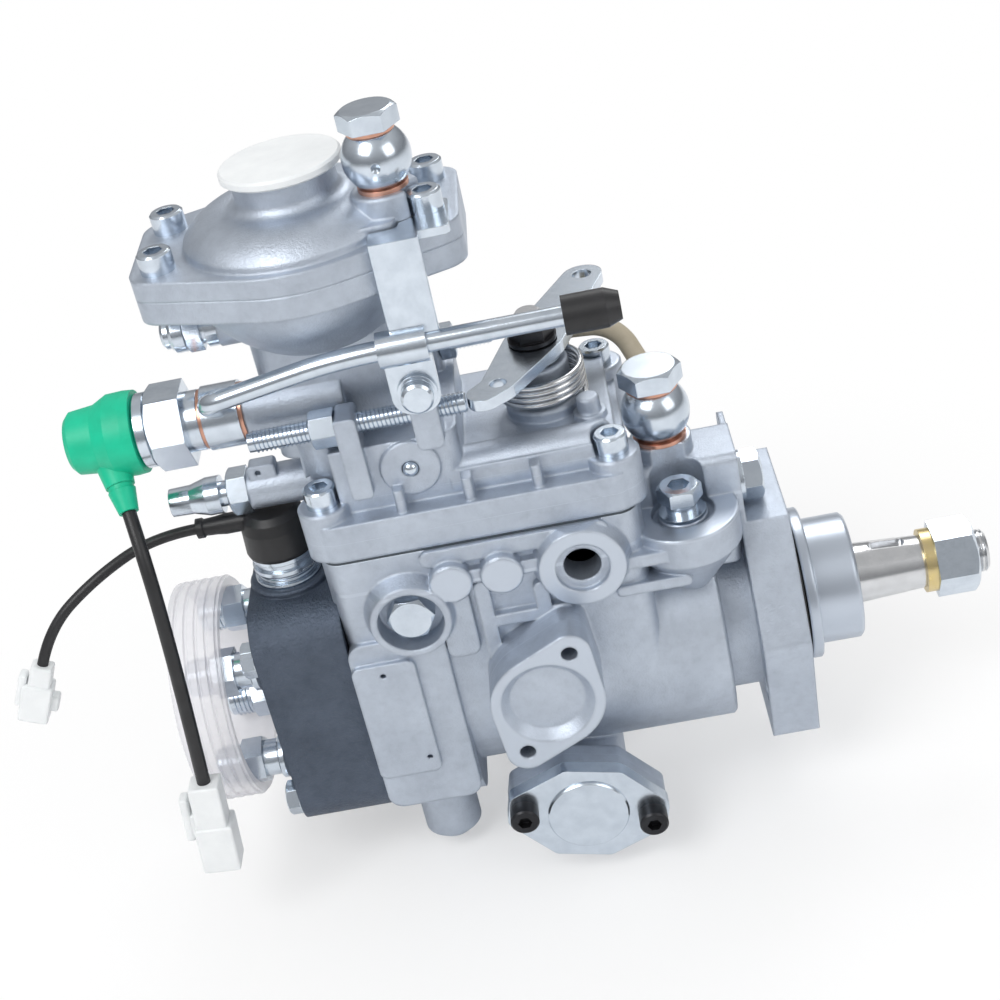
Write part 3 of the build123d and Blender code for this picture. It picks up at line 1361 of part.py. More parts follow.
with BuildPart() as governor_sleeve:
    turned(
        along_x(0, 0, governor_height),
        [
            (sleeve_left, 0),
            (sleeve_left + 0.25, 2.0),
            (sleeve_left + 0.9, 4.0),
            (sleeve_left + 2.0, 5.6),
            (sleeve_left + 3.2, 6.5),
            (sleeve_flange_left, 6.5),
            (sleeve_flange_left, 8.2),
            (sleeve_right, 8.2),
            (sleeve_right, spindle_radius + running),
            (spindle_left - 1.2, spindle_radius + running),
            (spindle_left - 1.2, 0),
        ],
    )
governor_sleeve.part.label = "governor_sleeve"
export_step(governor_sleeve.part, "parts/governor_sleeve.step")

with BuildPart() as governor_lever:
    for inner, outer in ((-26.0, -22.5), (18.5, 22.0)):
        with BuildSketch(Plane.XZ.offset(-outer), mode=Mode.PRIVATE) as section:
            with Locations((fulcrum_x, fulcrum_z)):
                Circle(6.5)
            with Locations((lever_pad - 2, 52)):
                Rectangle(4.0, 12.0)
            make_hull()
            with Locations((fulcrum_x, fulcrum_z)):
                Circle(fulcrum_pin + running, mode=Mode.SUBTRACT)
        extrude(section.sketch, amount=outer - inner)
    block((lever_pad - 4, lever_pad), (-26, 22), (46, 58), 1.5, "x")
    with BuildSketch(Plane.XZ.offset(-3), mode=Mode.PRIVATE) as section:
        with Locations((lever_pad - 2, 48)):
            Circle(1.9)
        with Locations((-114.0, 12.5)):
            Circle(1.6)
        make_hull()
    extrude(section.sketch, amount=6)
    with Locations((-114.0, 0, ball_height)):
        Sphere(ball_radius)
    rod(along_z(-114, 0, ball_height), 1.5, 0, 5)
governor_lever.part.label = "governor_lever"
export_step(governor_lever.part, "parts/governor_lever.step")

with BuildPart() as control_spool:
    ring(along_x(0), spool_radius, plunger_radius + running, spool_left, spool_right)
    groove_half = ball_radius + 0.1
    ring(along_x(0), spool_radius + 1, 6.0, -114 - groove_half, -114 + groove_half, Mode.SUBTRACT)
control_spool.part.label = "control_spool"
export_step(control_spool.part, "parts/control_spool.step")

# Cam plate, plunger, roller ring and timing piston
cam_radius = 26.5

with BuildPart() as cam_plate:
    ring(along_x(0), cam_radius, 0.0, plate_left, plate_right)
    for quarter in range(4):
        turn = quarter * pi / 2
        face = Plane(
            origin=(plate_right, 0, 0),
            x_dir=(0, -sin(turn), cos(turn)),
            z_dir=(0, cos(turn), sin(turn)),
        )
        with BuildSketch(face.offset(15), mode=Mode.PRIVATE) as section:
            with BuildLine():
                ThreePointArc((-lobe_half_width, 0), (0, lift), (lobe_half_width, 0))
                Polyline(
                    (lobe_half_width, 0),
                    (lobe_half_width, -1),
                    (-lobe_half_width, -1),
                    (-lobe_half_width, 0),
                )
            make_face()
        extrude(section.sketch, amount=10)
    block(
        (tongue_left - 3.2, plate_right + 1),
        (-tongue_half - 0.1, tongue_half + 0.1),
        (-tongue_reach - 0.2, tongue_reach + 0.2),
        0.7,
        "x",
        Mode.SUBTRACT,
    )
cam_plate.part.label = "cam_plate"
export_step(cam_plate.part, "parts/cam_plate.step")

with BuildPart() as distributor_plunger:
    rod(along_x(plate_left, 0, 0, -1), plunger_radius, 0, 53, edge=0.4)
    rod(along_x(plate_left, 0, 0, -1), 8.0, 0, 3)
distributor_plunger.part.label = "distributor_plunger"
export_step(distributor_plunger.part, "parts/distributor_plunger.step")

ring_outer = chamber_radius - 0.1
ring_left = -84.0
ring_right = -70.0
ring_flat = 26.0
timing_pin_radius = 3.0
timing_pin_end = -41.0

with BuildPart() as roller_ring:
    ring(along_x(0), ring_outer, 14.0, ring_left, ring_right)
    block((ring_left - 1, ring_right + 1), (-40, 40), (-50, -ring_flat), 1, "x", Mode.SUBTRACT)
    for quarter in range(4):
        turn = (quarter + 0.5) * pi / 2
        axis = Plane(origin=(roller_x, 0, 0), x_dir=(1, 0, 0), z_dir=(0, cos(turn), sin(turn)))
        plug_box(axis, (-1.2, 4.6), (-4.6, 4.6), 14.5, 25.8, Mode.SUBTRACT)
        rod(axis, 1.8, 13.5, 27)
        rod(axis, roller_radius, 15.2, 25.2)
    rod(along_z(timing_x, 0, timing_pin_end), timing_pin_radius, 0, -timing_pin_end - ring_flat + 4)
roller_ring.part.label = "roller_ring"
export_step(roller_ring.part, "parts/roller_ring.step")

with BuildPart() as timing_piston:
    rod(along_y(timing_x, 0, timing_height), timing_radius, -26, 34)
    rod(along_z(timing_x, 0, timing_height), timing_pin_radius + 1.3, -3, 20, Mode.SUBTRACT)
    rod(along_y(timing_x, 34, timing_height, 1), 7.0, -16, 1, Mode.SUBTRACT)
timing_piston.part.label = "timing_piston"
export_step(timing_piston.part, "parts/timing_piston.step")

# Throttle shaft, lever and return spring
lever_top = lever_bottom + lever_thickness
lever_tip = (-78.5, -25.0)
lever_lobe = (-83.0, -29.0)
lever_far = (-49.0, 38.5)
spring_mean_radius = 13.0
spring_wire_radius = 1.0
spring_bottom = 88.6

with BuildPart() as throttle_shaft:
    rod(along_z(hub_x, hub_y, 73), throttle_shaft_radius, 0, lever_top - 73 + 0.4)
    rod(along_z(hub_x, hub_y, 72), 9.0, 0, 4, edge=0.5)
    rod(along_z(hub_x, hub_y, lever_top), 4.0, 0, 10, edge=0.6)
throttle_shaft.part.label = "throttle_shaft"
export_step(throttle_shaft.part, "parts/throttle_shaft.step")

with BuildPart() as throttle_lever:
    arms = (
        ((hub_x, hub_y, 9.5), (*lever_far, 6.5)),
        ((hub_x, hub_y, 9.5), (*lever_tip, 5.5)),
        ((*lever_tip, 5.5), (*lever_lobe, 5.0)),
    )
    for ends in arms:
        with BuildSketch(Plane.XY.offset(lever_bottom), mode=Mode.PRIVATE) as section:
            for end_x, end_y, end_radius in ends:
                with Locations((end_x, end_y)):
                    Circle(end_radius)
            make_hull()
        extrude(section.sketch, amount=lever_thickness)
    rod(along_z(hub_x, hub_y, 100.5), 7.5, 0, lever_bottom - 100)
    rod(along_z(hub_x, hub_y, 100), throttle_shaft_radius + sliding, -1, 10, Mode.SUBTRACT)
    rod(along_z(*lever_far, lever_bottom), 3.1, -1, 5, Mode.SUBTRACT)
    rod(along_z(*lever_tip, lever_bottom), 2.6, -1, 5, Mode.SUBTRACT)
throttle_lever.part.label = "throttle_lever"
export_step(throttle_lever.part, "parts/throttle_lever.step")

with BuildPart() as lever_nut:
    ring(along_z(hub_x, hub_y, lever_top + 0.4), 7.5, 4 + thread_gap, 0, 1.2)
    hexagon(along_z(hub_x, hub_y, lever_top + 1.6), 12.0, 5.0)
    rod(along_z(hub_x, hub_y, lever_top), 4 + thread_gap, 0, 10, Mode.SUBTRACT)
lever_nut.part.label = "lever_nut"
export_step(lever_nut.part, "parts/lever_nut.step")

with BuildPart() as return_spring:
    coil = along_z(hub_x, hub_y, spring_bottom)
    for turn_count in range(5):
        middle = (2 * turn_count + 1) * spring_wire_radius * 0.98
        upright = Plane(origin=coil.origin, x_dir=(1, 0, 0), z_dir=(0, -1, 0))
        with BuildSketch(upright, mode=Mode.PRIVATE) as section:
            with Locations((spring_mean_radius, middle)):
                Circle(spring_wire_radius)
        revolve(section.sketch, axis=Axis(coil.origin, (0, 0, 1)))
    first = spring_bottom + 0.98
    last = spring_bottom + 9 * 0.98
    rod(along_y(hub_x + spring_mean_radius, hub_y, first), spring_wire_radius, 0, 8.2, edge=0.3)
    rod(along_y(hub_x - spring_mean_radius, hub_y, last), spring_wire_radius, 0, 13, edge=0.3)
return_spring.part.label = "return_spring"
export_step(return_spring.part, "parts/return_spring.step")

# Diaphragm of the boost compensator with its pin
with BuildPart() as boost_diaphragm:
    turned(
        along_z(boost_x, boost_y, 0),
        [
            (75, 0),
            (75, 4.0),
            (76, boost_pin_radius),
            (84, boost_pin_radius),
            (88, 3.6),
            (102, 4.6),
            (104, boost_pin_radius),
            (150, boost_pin_radius),
            (150, 17),
            (151, 18),
            (151, 23.5),
            (148.5, 25),
            (151, 26.8),
            (151, 27.6),
            (152.4, 27.6),
            (152.4, 26.0),
            (150.2, 25),
            (152.4, 24.0),
            (152.4, 18),
            (153.6, 18),
            (153.6, 7),
            (157, 7),
            (157, 0),
        ],
    )
boost_diaphragm.part.label = "boost_diaphragm"
export_step(boost_diaphragm.part, "parts/boost_diaphragm.step")
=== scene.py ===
"""Looks of a distributor-type diesel injection pump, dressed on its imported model.

Lengths in the dataclasses are in millimetres; `MM` turns them into Blender's metres.
"""

import json
import logging
import math
from dataclasses import dataclass, fields, replace
from enum import Enum
from typing import TypeAlias

import bpy
from mathutils import Matrix, Vector

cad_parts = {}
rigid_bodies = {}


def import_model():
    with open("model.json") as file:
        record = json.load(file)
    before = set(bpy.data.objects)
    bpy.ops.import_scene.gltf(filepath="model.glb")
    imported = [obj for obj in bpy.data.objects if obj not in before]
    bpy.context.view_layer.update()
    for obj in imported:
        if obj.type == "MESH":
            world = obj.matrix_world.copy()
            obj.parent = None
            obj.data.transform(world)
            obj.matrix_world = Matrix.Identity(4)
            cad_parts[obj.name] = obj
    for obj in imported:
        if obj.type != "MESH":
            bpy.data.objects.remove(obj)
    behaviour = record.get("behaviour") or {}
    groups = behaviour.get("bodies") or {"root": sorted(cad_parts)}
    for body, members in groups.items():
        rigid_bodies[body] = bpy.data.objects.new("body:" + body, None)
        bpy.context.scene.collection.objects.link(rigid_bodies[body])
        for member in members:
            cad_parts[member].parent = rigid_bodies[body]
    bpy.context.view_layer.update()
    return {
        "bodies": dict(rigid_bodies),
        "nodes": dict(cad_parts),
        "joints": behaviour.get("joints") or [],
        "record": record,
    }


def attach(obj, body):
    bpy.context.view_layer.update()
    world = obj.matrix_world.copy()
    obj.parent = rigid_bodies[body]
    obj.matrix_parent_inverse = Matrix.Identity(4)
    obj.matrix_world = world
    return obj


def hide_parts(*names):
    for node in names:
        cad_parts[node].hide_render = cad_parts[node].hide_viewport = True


Colour: TypeAlias = tuple[float, float, float]
Point: TypeAlias = tuple[float, float, float]
Span: TypeAlias = tuple[float, float]
Number: TypeAlias = "Signal | float"

MM = 0.001
FULL_TURN = 2 * math.pi
QUARTER_TURN = math.pi / 2
WHITE: Colour = (1.0, 1.0, 1.0)
NOISE_ROUGHNESS = 0.6
EDGE_SAMPLES = 6
ROUNDING_SEGMENTS = 3
MERGE_DISTANCE = 0.004
LOG = logging.getLogger("injection_pump")


class Axis(Enum):
    """The three directions of the pump's frame."""

    X = 0
    Y = 1
    Z = 2


class Cut(Enum):
    """How one solid is combined with another."""

    JOIN = "UNION"
    TAKE = "DIFFERENCE"


class Signal:
    """A node's output that takes Python's arithmetic and writes it as nodes."""

    def __init__(self, tree: "Tree", socket: bpy.types.NodeSocket) -> None:
        """Wraps a socket of a tree."""
        self.tree = tree
        self.socket = socket

    def maths(self, operation: str, *others: Number) -> "Signal":
        """Adds a Math node.

        Args:
            operation: the Math node's operation.
            others: the values or signals after this one.

        Returns:
            The node's result.
        """
        values = {0: self, **dict(enumerate(others, 1))}
        return self.tree.node("ShaderNodeMath", {"operation": operation}, values)

    def __add__(self, other: Number) -> "Signal":
        """Sum."""
        return self.maths("ADD", other)

    __radd__ = __add__

    def __sub__(self, other: Number) -> "Signal":
        """Difference."""
        return self.maths("SUBTRACT", other)

    def __rsub__(self, other: Number) -> "Signal":
        """Difference the other way round."""
        return (self * -1.0) + other

    def __mul__(self, other: Number) -> "Signal":
        """Product."""
        return self.maths("MULTIPLY", other)

    __rmul__ = __mul__

    def near(self, value: float, reach: float) -> "Signal":
        """Gives 1 where the signal is within reach of a value, and 0 elsewhere."""
        return self.maths("COMPARE", value, reach)

    def either(self, other: "Signal") -> "Signal":
        """The larger of two signals."""
        return self.maths("MAXIMUM", other)

    def wave(self) -> "Signal":
        """Sine of the signal."""
        return self.maths("SINE")

    def root(self) -> "Signal":
        """Square root of the signal."""
        return self.maths("SQRT")

    def ramp(self, low: float, high: float) -> "Signal":
        """Gives 0 below low, 1 above high, and a straight rise between."""
        values = {"Value": self, "From Min": low, "From Max": high, "To Min": 0.0, "To Max": 1.0}
        return self.tree.node("ShaderNodeMapRange", {"clamp": True}, values)


class Tree:
    """A node tree, emptied, with one method that adds any node."""

    def __init__(self, tree: bpy.types.NodeTree) -> None:
        """Empties the tree."""
        self.tree = tree
        self.tree.nodes.clear()

    def node(self, kind: str, settings: dict, values: dict, result: int | str = 0) -> Signal:
        """Adds any node.

        Args:
            kind: the node's type.
            settings: its properties, set before its sockets.
            values: what goes into each socket, a constant or a signal.
            result: the output that is wanted.

        Returns:
            That output.
        """
        made = self.tree.nodes.new(kind)
        for key, value in settings.items():
            setattr(made, key, value)
        for key, value in values.items():
            self.feed(made.inputs[key], value)
        return Signal(self, made.outputs[result])

    def feed(self, socket: bpy.types.NodeSocket, value: Signal | float | tuple) -> None:
        """Links a signal to a socket, or sets the socket to a constant."""
        if isinstance(value, Signal):
            self.tree.links.new(value.socket, socket)
        else:
            socket.default_value = value

    def tint(self, factor: Number, first: Colour, second: Colour) -> Signal:
        """Mixes two colours by a factor."""
        values = {0: factor, 6: (*first, 1.0), 7: (*second, 1.0)}
        return self.node("ShaderNodeMix", {"data_type": "RGBA"}, values, 2)


class Graph(Tree):
    """The node tree of one material, with its shader and output in place."""

    def __init__(self, name: str) -> None:
        """Starts an empty material of that name."""
        self.material = bpy.data.materials.new(name)
        self.material.use_nodes = True
        super().__init__(self.material.node_tree)
        self.shader = self.tree.nodes.new("ShaderNodeBsdfPrincipled")
        self.output = self.tree.nodes.new("ShaderNodeOutputMaterial")
        self.tree.links.new(self.shader.outputs["BSDF"], self.output.inputs["Surface"])
        self.place = self.node("ShaderNodeTexCoord", {}, {}, "Object")

    def along(self, axis: Axis) -> Signal:
        """The coordinate along one axis of the pump's frame, in metres."""
        return self.node("ShaderNodeSeparateXYZ", {}, {0: self.place}, axis.value)

    def noise(self, size: float, detail: float) -> Signal:
        """Cloudy noise, from 0 to 1.

        Args:
            size: size of its features in millimetres.
            detail: how many octaves it has.

        Returns:
            The noise.
        """
        values = {"Vector": self.place, "Scale": 1 / (size * MM), "Detail": detail}
        return self.node("ShaderNodeTexNoise", {}, {**values, "Roughness": NOISE_ROUGHNESS}, "Fac")

    def relief(self, height: Signal, depth: float, edge: float) -> None:
        """Sends a height to the shader's normal, over edges softened by a small radius.

        Args:
            height: a signal from 0 to 1.
            depth: how deep the relief is, in millimetres.
            edge: radius of the softened edges, in millimetres.
        """
        soft = self.node("ShaderNodeBevel", {"samples": EDGE_SAMPLES}, {"Radius": edge * MM})
        values = {"Height": height, "Distance": depth * MM, "Strength": 1.0, "Normal": soft}
        self.feed(self.shader.inputs["Normal"], self.node("ShaderNodeBump", {}, values))

    def fade_to_white(self, share: Signal) -> None:
        """Lets a share of the surface show as plain white to the camera alone.

        Args:
            share: a signal from 0 to 1.
        """
        seen = self.node("ShaderNodeLightPath", {}, {}, "Is Camera Ray")
        white = self.node("ShaderNodeEmission", {}, {"Color": (*WHITE, 1.0), "Strength": 1.0})
        parts = {0: share * seen, 1: Signal(self, self.shader.outputs["BSDF"]), 2: white}
        self.feed(self.output.inputs["Surface"], self.node("ShaderNodeMixShader", {}, parts))

    def set(self, **values: Signal | float | tuple) -> None:
        """Feeds sockets of the shader, named with underscores for spaces."""
        for key, value in values.items():
            self.feed(self.shader.inputs[key.replace("_", " ")], value)


@dataclass(frozen=True)
class Band:
    """A stretch of the pump along one axis."""

    axis: Axis
    low: float
    high: float

    def mask(self, graph: Graph) -> Signal:
        """Gives 1 inside the stretch, and 0 outside."""
        middle, half = (self.low + self.high) / 2, (self.high - self.low) / 2
        return graph.along(self.axis).near(middle * MM, half * MM)


MOUNTING_FACE = Band(Axis.X, -0.15, 0.15)
REGISTER_AND_NOSE = Band(Axis.X, 0.15, 21.0)
PAD_FACE = Band(Axis.Y, -57.2, -56.8)
TIMING_FACES = Band(Axis.Y, -48.2, -47.8)
BOSS_FACES = Band(Axis.Y, -43.6, -43.4)
VENT_SHELF = Band(Axis.Z, 51.0, 52.2)
INLET_SEAT = Band(Axis.Z, 69.9, 70.1)
COVER_SCREW_SEATS = Band(Axis.Z, 79.9, 80.1)
BELOW_COMPENSATOR = Band(Axis.Z, -80.0, 104.0)
SOLENOID_NECK = Band(Axis.Z, 47.0, 51.5)


@dataclass(frozen=True)
class Thread:
    """A screw thread, drawn as relief on a stretch of a turned piece."""

    band: Band
    pitch: float

    def cut(self, graph: Graph) -> Signal:
        """Gives 1 on the crests, 0 in the roots, and 0 outside the stretch."""
        turns = graph.along(self.band.axis) * (FULL_TURN / (self.pitch * MM))
        return (turns.wave() * 0.5 + 0.5) * self.band.mask(graph)


@dataclass(frozen=True)
class Mottle:
    """Cloudy marks: their size and detail, where they start and are full, and how strong they are."""

    size: float
    detail: float
    limits: Span
    strength: float = 1.0

    def noise(self, graph: Graph) -> Signal:
        """The clouds, from 0 to 1."""
        return graph.noise(self.size, self.detail)

    def shade(self, clouds: Signal) -> Signal:
        """How far the clouds take the colour to its dark form."""
        return clouds.ramp(*self.limits) * self.strength


@dataclass(frozen=True)
class Wear:
    """How much clouds and grain add to a roughness, and what is taken off to keep its mean."""

    clouds: float
    grain: float
    less: float

    def vary(self, roughness: float, clouds: Signal, grain: Signal) -> Signal:
        """Varies a roughness by clouds and grain."""
        return clouds * self.clouds + grain * self.grain + (roughness - self.less)


@dataclass(frozen=True)
class CastMetal:
    """Sand-cast or die-cast metal, smoother where it has been machined flat.

    Machined faces keep a share of the casting's marks and of its grain.
    """

    name: str
    colour: Colour
    dark: Colour
    roughness: float = 0.42
    metallic: float = 1.0
    grain: float = 0.7
    grain_detail: float = 4.0
    depth: float = 0.10
    edge: float = 1.3
    machined: tuple[Band, ...] = ()
    machined_height: Band = BELOW_COMPENSATOR
    machined_gloss: float = 0.14
    machined_marks: float = 0.15
    machined_grain: float = 0.12
    patches: Mottle = Mottle(14.0, 4.0, (0.30, 0.75), 0.45)
    stains: Mottle = Mottle(3.0, 3.0, (0.45, 0.85), 0.30)
    wear: Wear = Wear(0.10, 0.12, 0.10)

    def worked(self, graph: Graph) -> Signal:
        """Gives 1 on the machined faces, and 0 on the skin of the casting."""
        first, *others = (band.mask(graph) for band in self.machined)
        for other in others:
            first = first.either(other)
        return first * self.machined_height.mask(graph)

    def build(self) -> bpy.types.Material:
        """Returns the material."""
        graph = Graph(self.name)
        patches, skin = self.patches.noise(graph), graph.noise(self.grain, self.grain_detail)
        marks = self.patches.shade(patches) + self.stains.shade(self.stains.noise(graph))
        rough = self.wear.vary(self.roughness, patches, skin)
        height = skin
        if self.machined:
            worked = self.worked(graph)
            rest = 1.0 - worked
            marks = marks * (rest * (1 - self.machined_marks) + self.machined_marks)
            rough = rough - worked * self.machined_gloss
            height = skin * (rest * (1 - self.machined_grain) + self.machined_grain)
        graph.set(
            Base_Color=graph.tint(marks, self.colour, self.dark),
            Metallic=self.metallic,
            Roughness=rough,
        )
        graph.relief(height, self.depth, self.edge)
        return graph.material


@dataclass(frozen=True)
class PlatedMetal:
    """Plated, turned or bare metal, with screw threads as relief on stretches of it and as painted shade
    that darkens their crests.
    """

    name: str
    colour: Colour
    dark: Colour
    roughness: float = 0.20
    metallic: float = 1.0
    grain: float = 0.5
    grain_detail: float = 3.0
    depth: float = 0.012
    edge: float = 0.25
    clouds: Mottle = Mottle(5.0, 4.0, (0.35, 0.80), 0.6)
    grain_limits: Span = (0.5, 0.9)
    grain_shade: float = 0.2
    wear: Wear = Wear(0.10, 0.06, 0.07)
    threads: tuple[Thread, ...] = ()
    relief: float = 0.30
    thread_share: float = 0.8
    # painted shade: how far each thread's crests are darkened, in stripes along it
    thread_shade: float = 0.15

    def build(self) -> bpy.types.Material:
        """Returns the material."""
        graph = Graph(self.name)
        clouds, skin = self.clouds.noise(graph), graph.noise(self.grain, self.grain_detail)
        shade = self.clouds.shade(clouds) + skin.ramp(*self.grain_limits) * self.grain_shade
        height = skin * (self.depth / self.relief)
        for thread in self.threads:
            cut = thread.cut(graph)
            height = height + cut * self.thread_share
            # painted shade: darkens the thread's crests in stripes that follow it
            shade = shade + cut * self.thread_shade
        graph.set(
            Base_Color=graph.tint(shade, self.colour, self.dark),
            Metallic=self.metallic,
            Roughness=self.wear.vary(self.roughness, clouds, skin),
        )
        graph.relief(height, self.relief, self.edge)
        return graph.material


@dataclass(frozen=True)
class Moulded:
    """Rubber or plastic, with fine moulding grain and, if wanted, some see-through."""

    name: str
    colour: Colour
    dark: Colour
    roughness: float = 0.45
    grain: float = 0.35
    grain_detail: float = 2.0
    depth: float = 0.02
    edge: float = 0.4
    clouds: Mottle = Mottle(7.0, 3.0, (0.3, 0.8))
    wear: Wear = Wear(0.08, 0.10, 0.09)
    glow: float = 0.0
    glow_depth: float = 4.0
    cover: float = 1.0
    refraction: float = 1.46

    def build(self) -> bpy.types.Material:
        """Returns the material."""
        graph = Graph(self.name)
        clouds, skin = self.clouds.noise(graph), graph.noise(self.grain, self.grain_detail)
        graph.set(
            Base_Color=graph.tint(self.clouds.shade(clouds), self.colour, self.dark),
            Roughness=self.wear.vary(self.roughness, clouds, skin),
            Alpha=self.cover,
            Subsurface_Weight=self.glow,
            Subsurface_Radius=(self.glow_depth * MM,) * 3,
            IOR=self.refraction,
        )
        graph.relief(skin, self.depth, self.edge)
        return graph.material


@dataclass(frozen=True)
class Finishes:
    """Every finish of the pump, named as in its record."""

    cast_aluminium: CastMetal = CastMetal(
        "cast_aluminium",
        (0.55, 0.605, 0.685),
        (0.36, 0.40, 0.465),
        roughness=0.47,
        metallic=0.90,
        depth=0.16,
        machined=(
            MOUNTING_FACE,
            REGISTER_AND_NOSE,
            PAD_FACE,
            TIMING_FACES,
            BOSS_FACES,
            VENT_SHELF,
            INLET_SEAT,
            COVER_SCREW_SEATS,
        ),
    )
    dark_head: CastMetal = CastMetal(
        "dark_head",
        (0.105, 0.130, 0.175),
        (0.045, 0.058, 0.080),
        roughness=0.46,
        metallic=0.65,
        grain=1.1,
        depth=0.6,
        edge=0.8,
    )
    zinc_steel: PlatedMetal = PlatedMetal(
        "zinc_steel",
        (0.66, 0.725, 0.80),
        (0.45, 0.51, 0.585),
        roughness=0.21,
    )
    black_oxide: PlatedMetal = PlatedMetal(
        "black_oxide",
        (0.035, 0.036, 0.040),
        (0.015, 0.015, 0.017),
        roughness=0.34,
        metallic=0.8,
    )
    machined_steel: PlatedMetal = PlatedMetal(
        "machined_steel",
        (0.69, 0.70, 0.715),
        (0.52, 0.53, 0.545),
        depth=0.005,
    )
    piston_aluminium: PlatedMetal = PlatedMetal(
        "piston_aluminium",
        (0.55, 0.55, 0.57),
        (0.40, 0.40, 0.42),
        roughness=0.32,
    )
    yellow_zinc: PlatedMetal = PlatedMetal(
        "yellow_zinc",
        (0.72, 0.58, 0.27),
        (0.62, 0.52, 0.38),
        roughness=0.28,
    )
    copper: PlatedMetal = PlatedMetal(
        "copper",
        (0.68, 0.37, 0.27),
        (0.46, 0.25, 0.19),
        roughness=0.30,
    )
    bronze: PlatedMetal = PlatedMetal(
        "bronze",
        (0.60, 0.40, 0.20),
        (0.45, 0.30, 0.14),
        roughness=0.36,
    )
    black_rubber: Moulded = Moulded(
        "black_rubber",
        (0.022, 0.022, 0.024),
        (0.012, 0.012, 0.013),
        roughness=0.42,
    )
    green_rubber: Moulded = Moulded(
        "green_rubber",
        (0.004, 0.54, 0.31),
        (0.003, 0.44, 0.245),
        roughness=0.46,
        depth=0.03,
    )
    white_plastic: Moulded = Moulded(
        "white_plastic",
        (0.85, 0.87, 0.875),
        (0.78, 0.80, 0.81),
        roughness=0.34,
        glow=0.25,
    )
    clear_plastic: Moulded = Moulded(
        "clear_plastic",
        (0.90, 0.89, 0.93),
        (0.82, 0.815, 0.86),
        roughness=0.30,
        cover=0.5,
    )
    hose_rubber: Moulded = Moulded(
        "hose_rubber",
        (0.52, 0.46, 0.35),
        (0.40, 0.35, 0.26),
        roughness=0.55,
        depth=0.05,
    )
    gasket_paper: Moulded = Moulded(
        "gasket_paper",
        (0.06, 0.075, 0.09),
        (0.04, 0.05, 0.06),
        roughness=0.7,
    )


def paint(obj: bpy.types.Object, material: bpy.types.Material) -> None:
    """Gives a piece its one material."""
    obj.data.materials.clear()
    obj.data.materials.append(material)


def deselect() -> None:
    """Leaves nothing selected, because operators act on all that is."""
    if bpy.context.object is not None and bpy.context.object.mode != "OBJECT":
        bpy.ops.object.mode_set(mode="OBJECT")
    bpy.ops.object.select_all(action="DESELECT")


def fix_place() -> None:
    """Puts the place, turn and scale of the selected piece into its mesh."""
    bpy.ops.object.transform_apply(location=True, rotation=True, scale=True)


def settle(obj: bpy.types.Object, body: str, slot: str, material: bpy.types.Material) -> None:
    """Finishes a new piece: its place goes into its mesh, and it rides on a body.

    Args:
        obj: the piece.
        body: the body that it moves with.
        slot: the record's material slot; not used.
        material: its material.
    """
    deselect()
    obj.select_set(True)
    bpy.context.view_layer.objects.active = obj
    fix_place()
    paint(obj, material)
    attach(obj, body)
    LOG.info("made %s", obj.name)


@dataclass(frozen=True)
class Lamp:
    """A soft square lamp that faces the pump, with its power in watts."""

    name: str
    place: Point
    side: float
    power: float
    aim: Point = (-70.0, 0.0, 50.0)

    def add(self) -> None:
        """Adds the lamp."""
        data = bpy.data.lights.new(self.name, "AREA")
        data.shape, data.size, data.energy = "SQUARE", self.side * MM, self.power
        lamp = bpy.data.objects.new(self.name, data)
        bpy.context.scene.collection.objects.link(lamp)
        lamp.location = Vector(self.place) * MM
        beam = Vector(self.aim) - Vector(self.place)
        lamp.rotation_euler = beam.to_track_quat("-Z", "Y").to_euler()


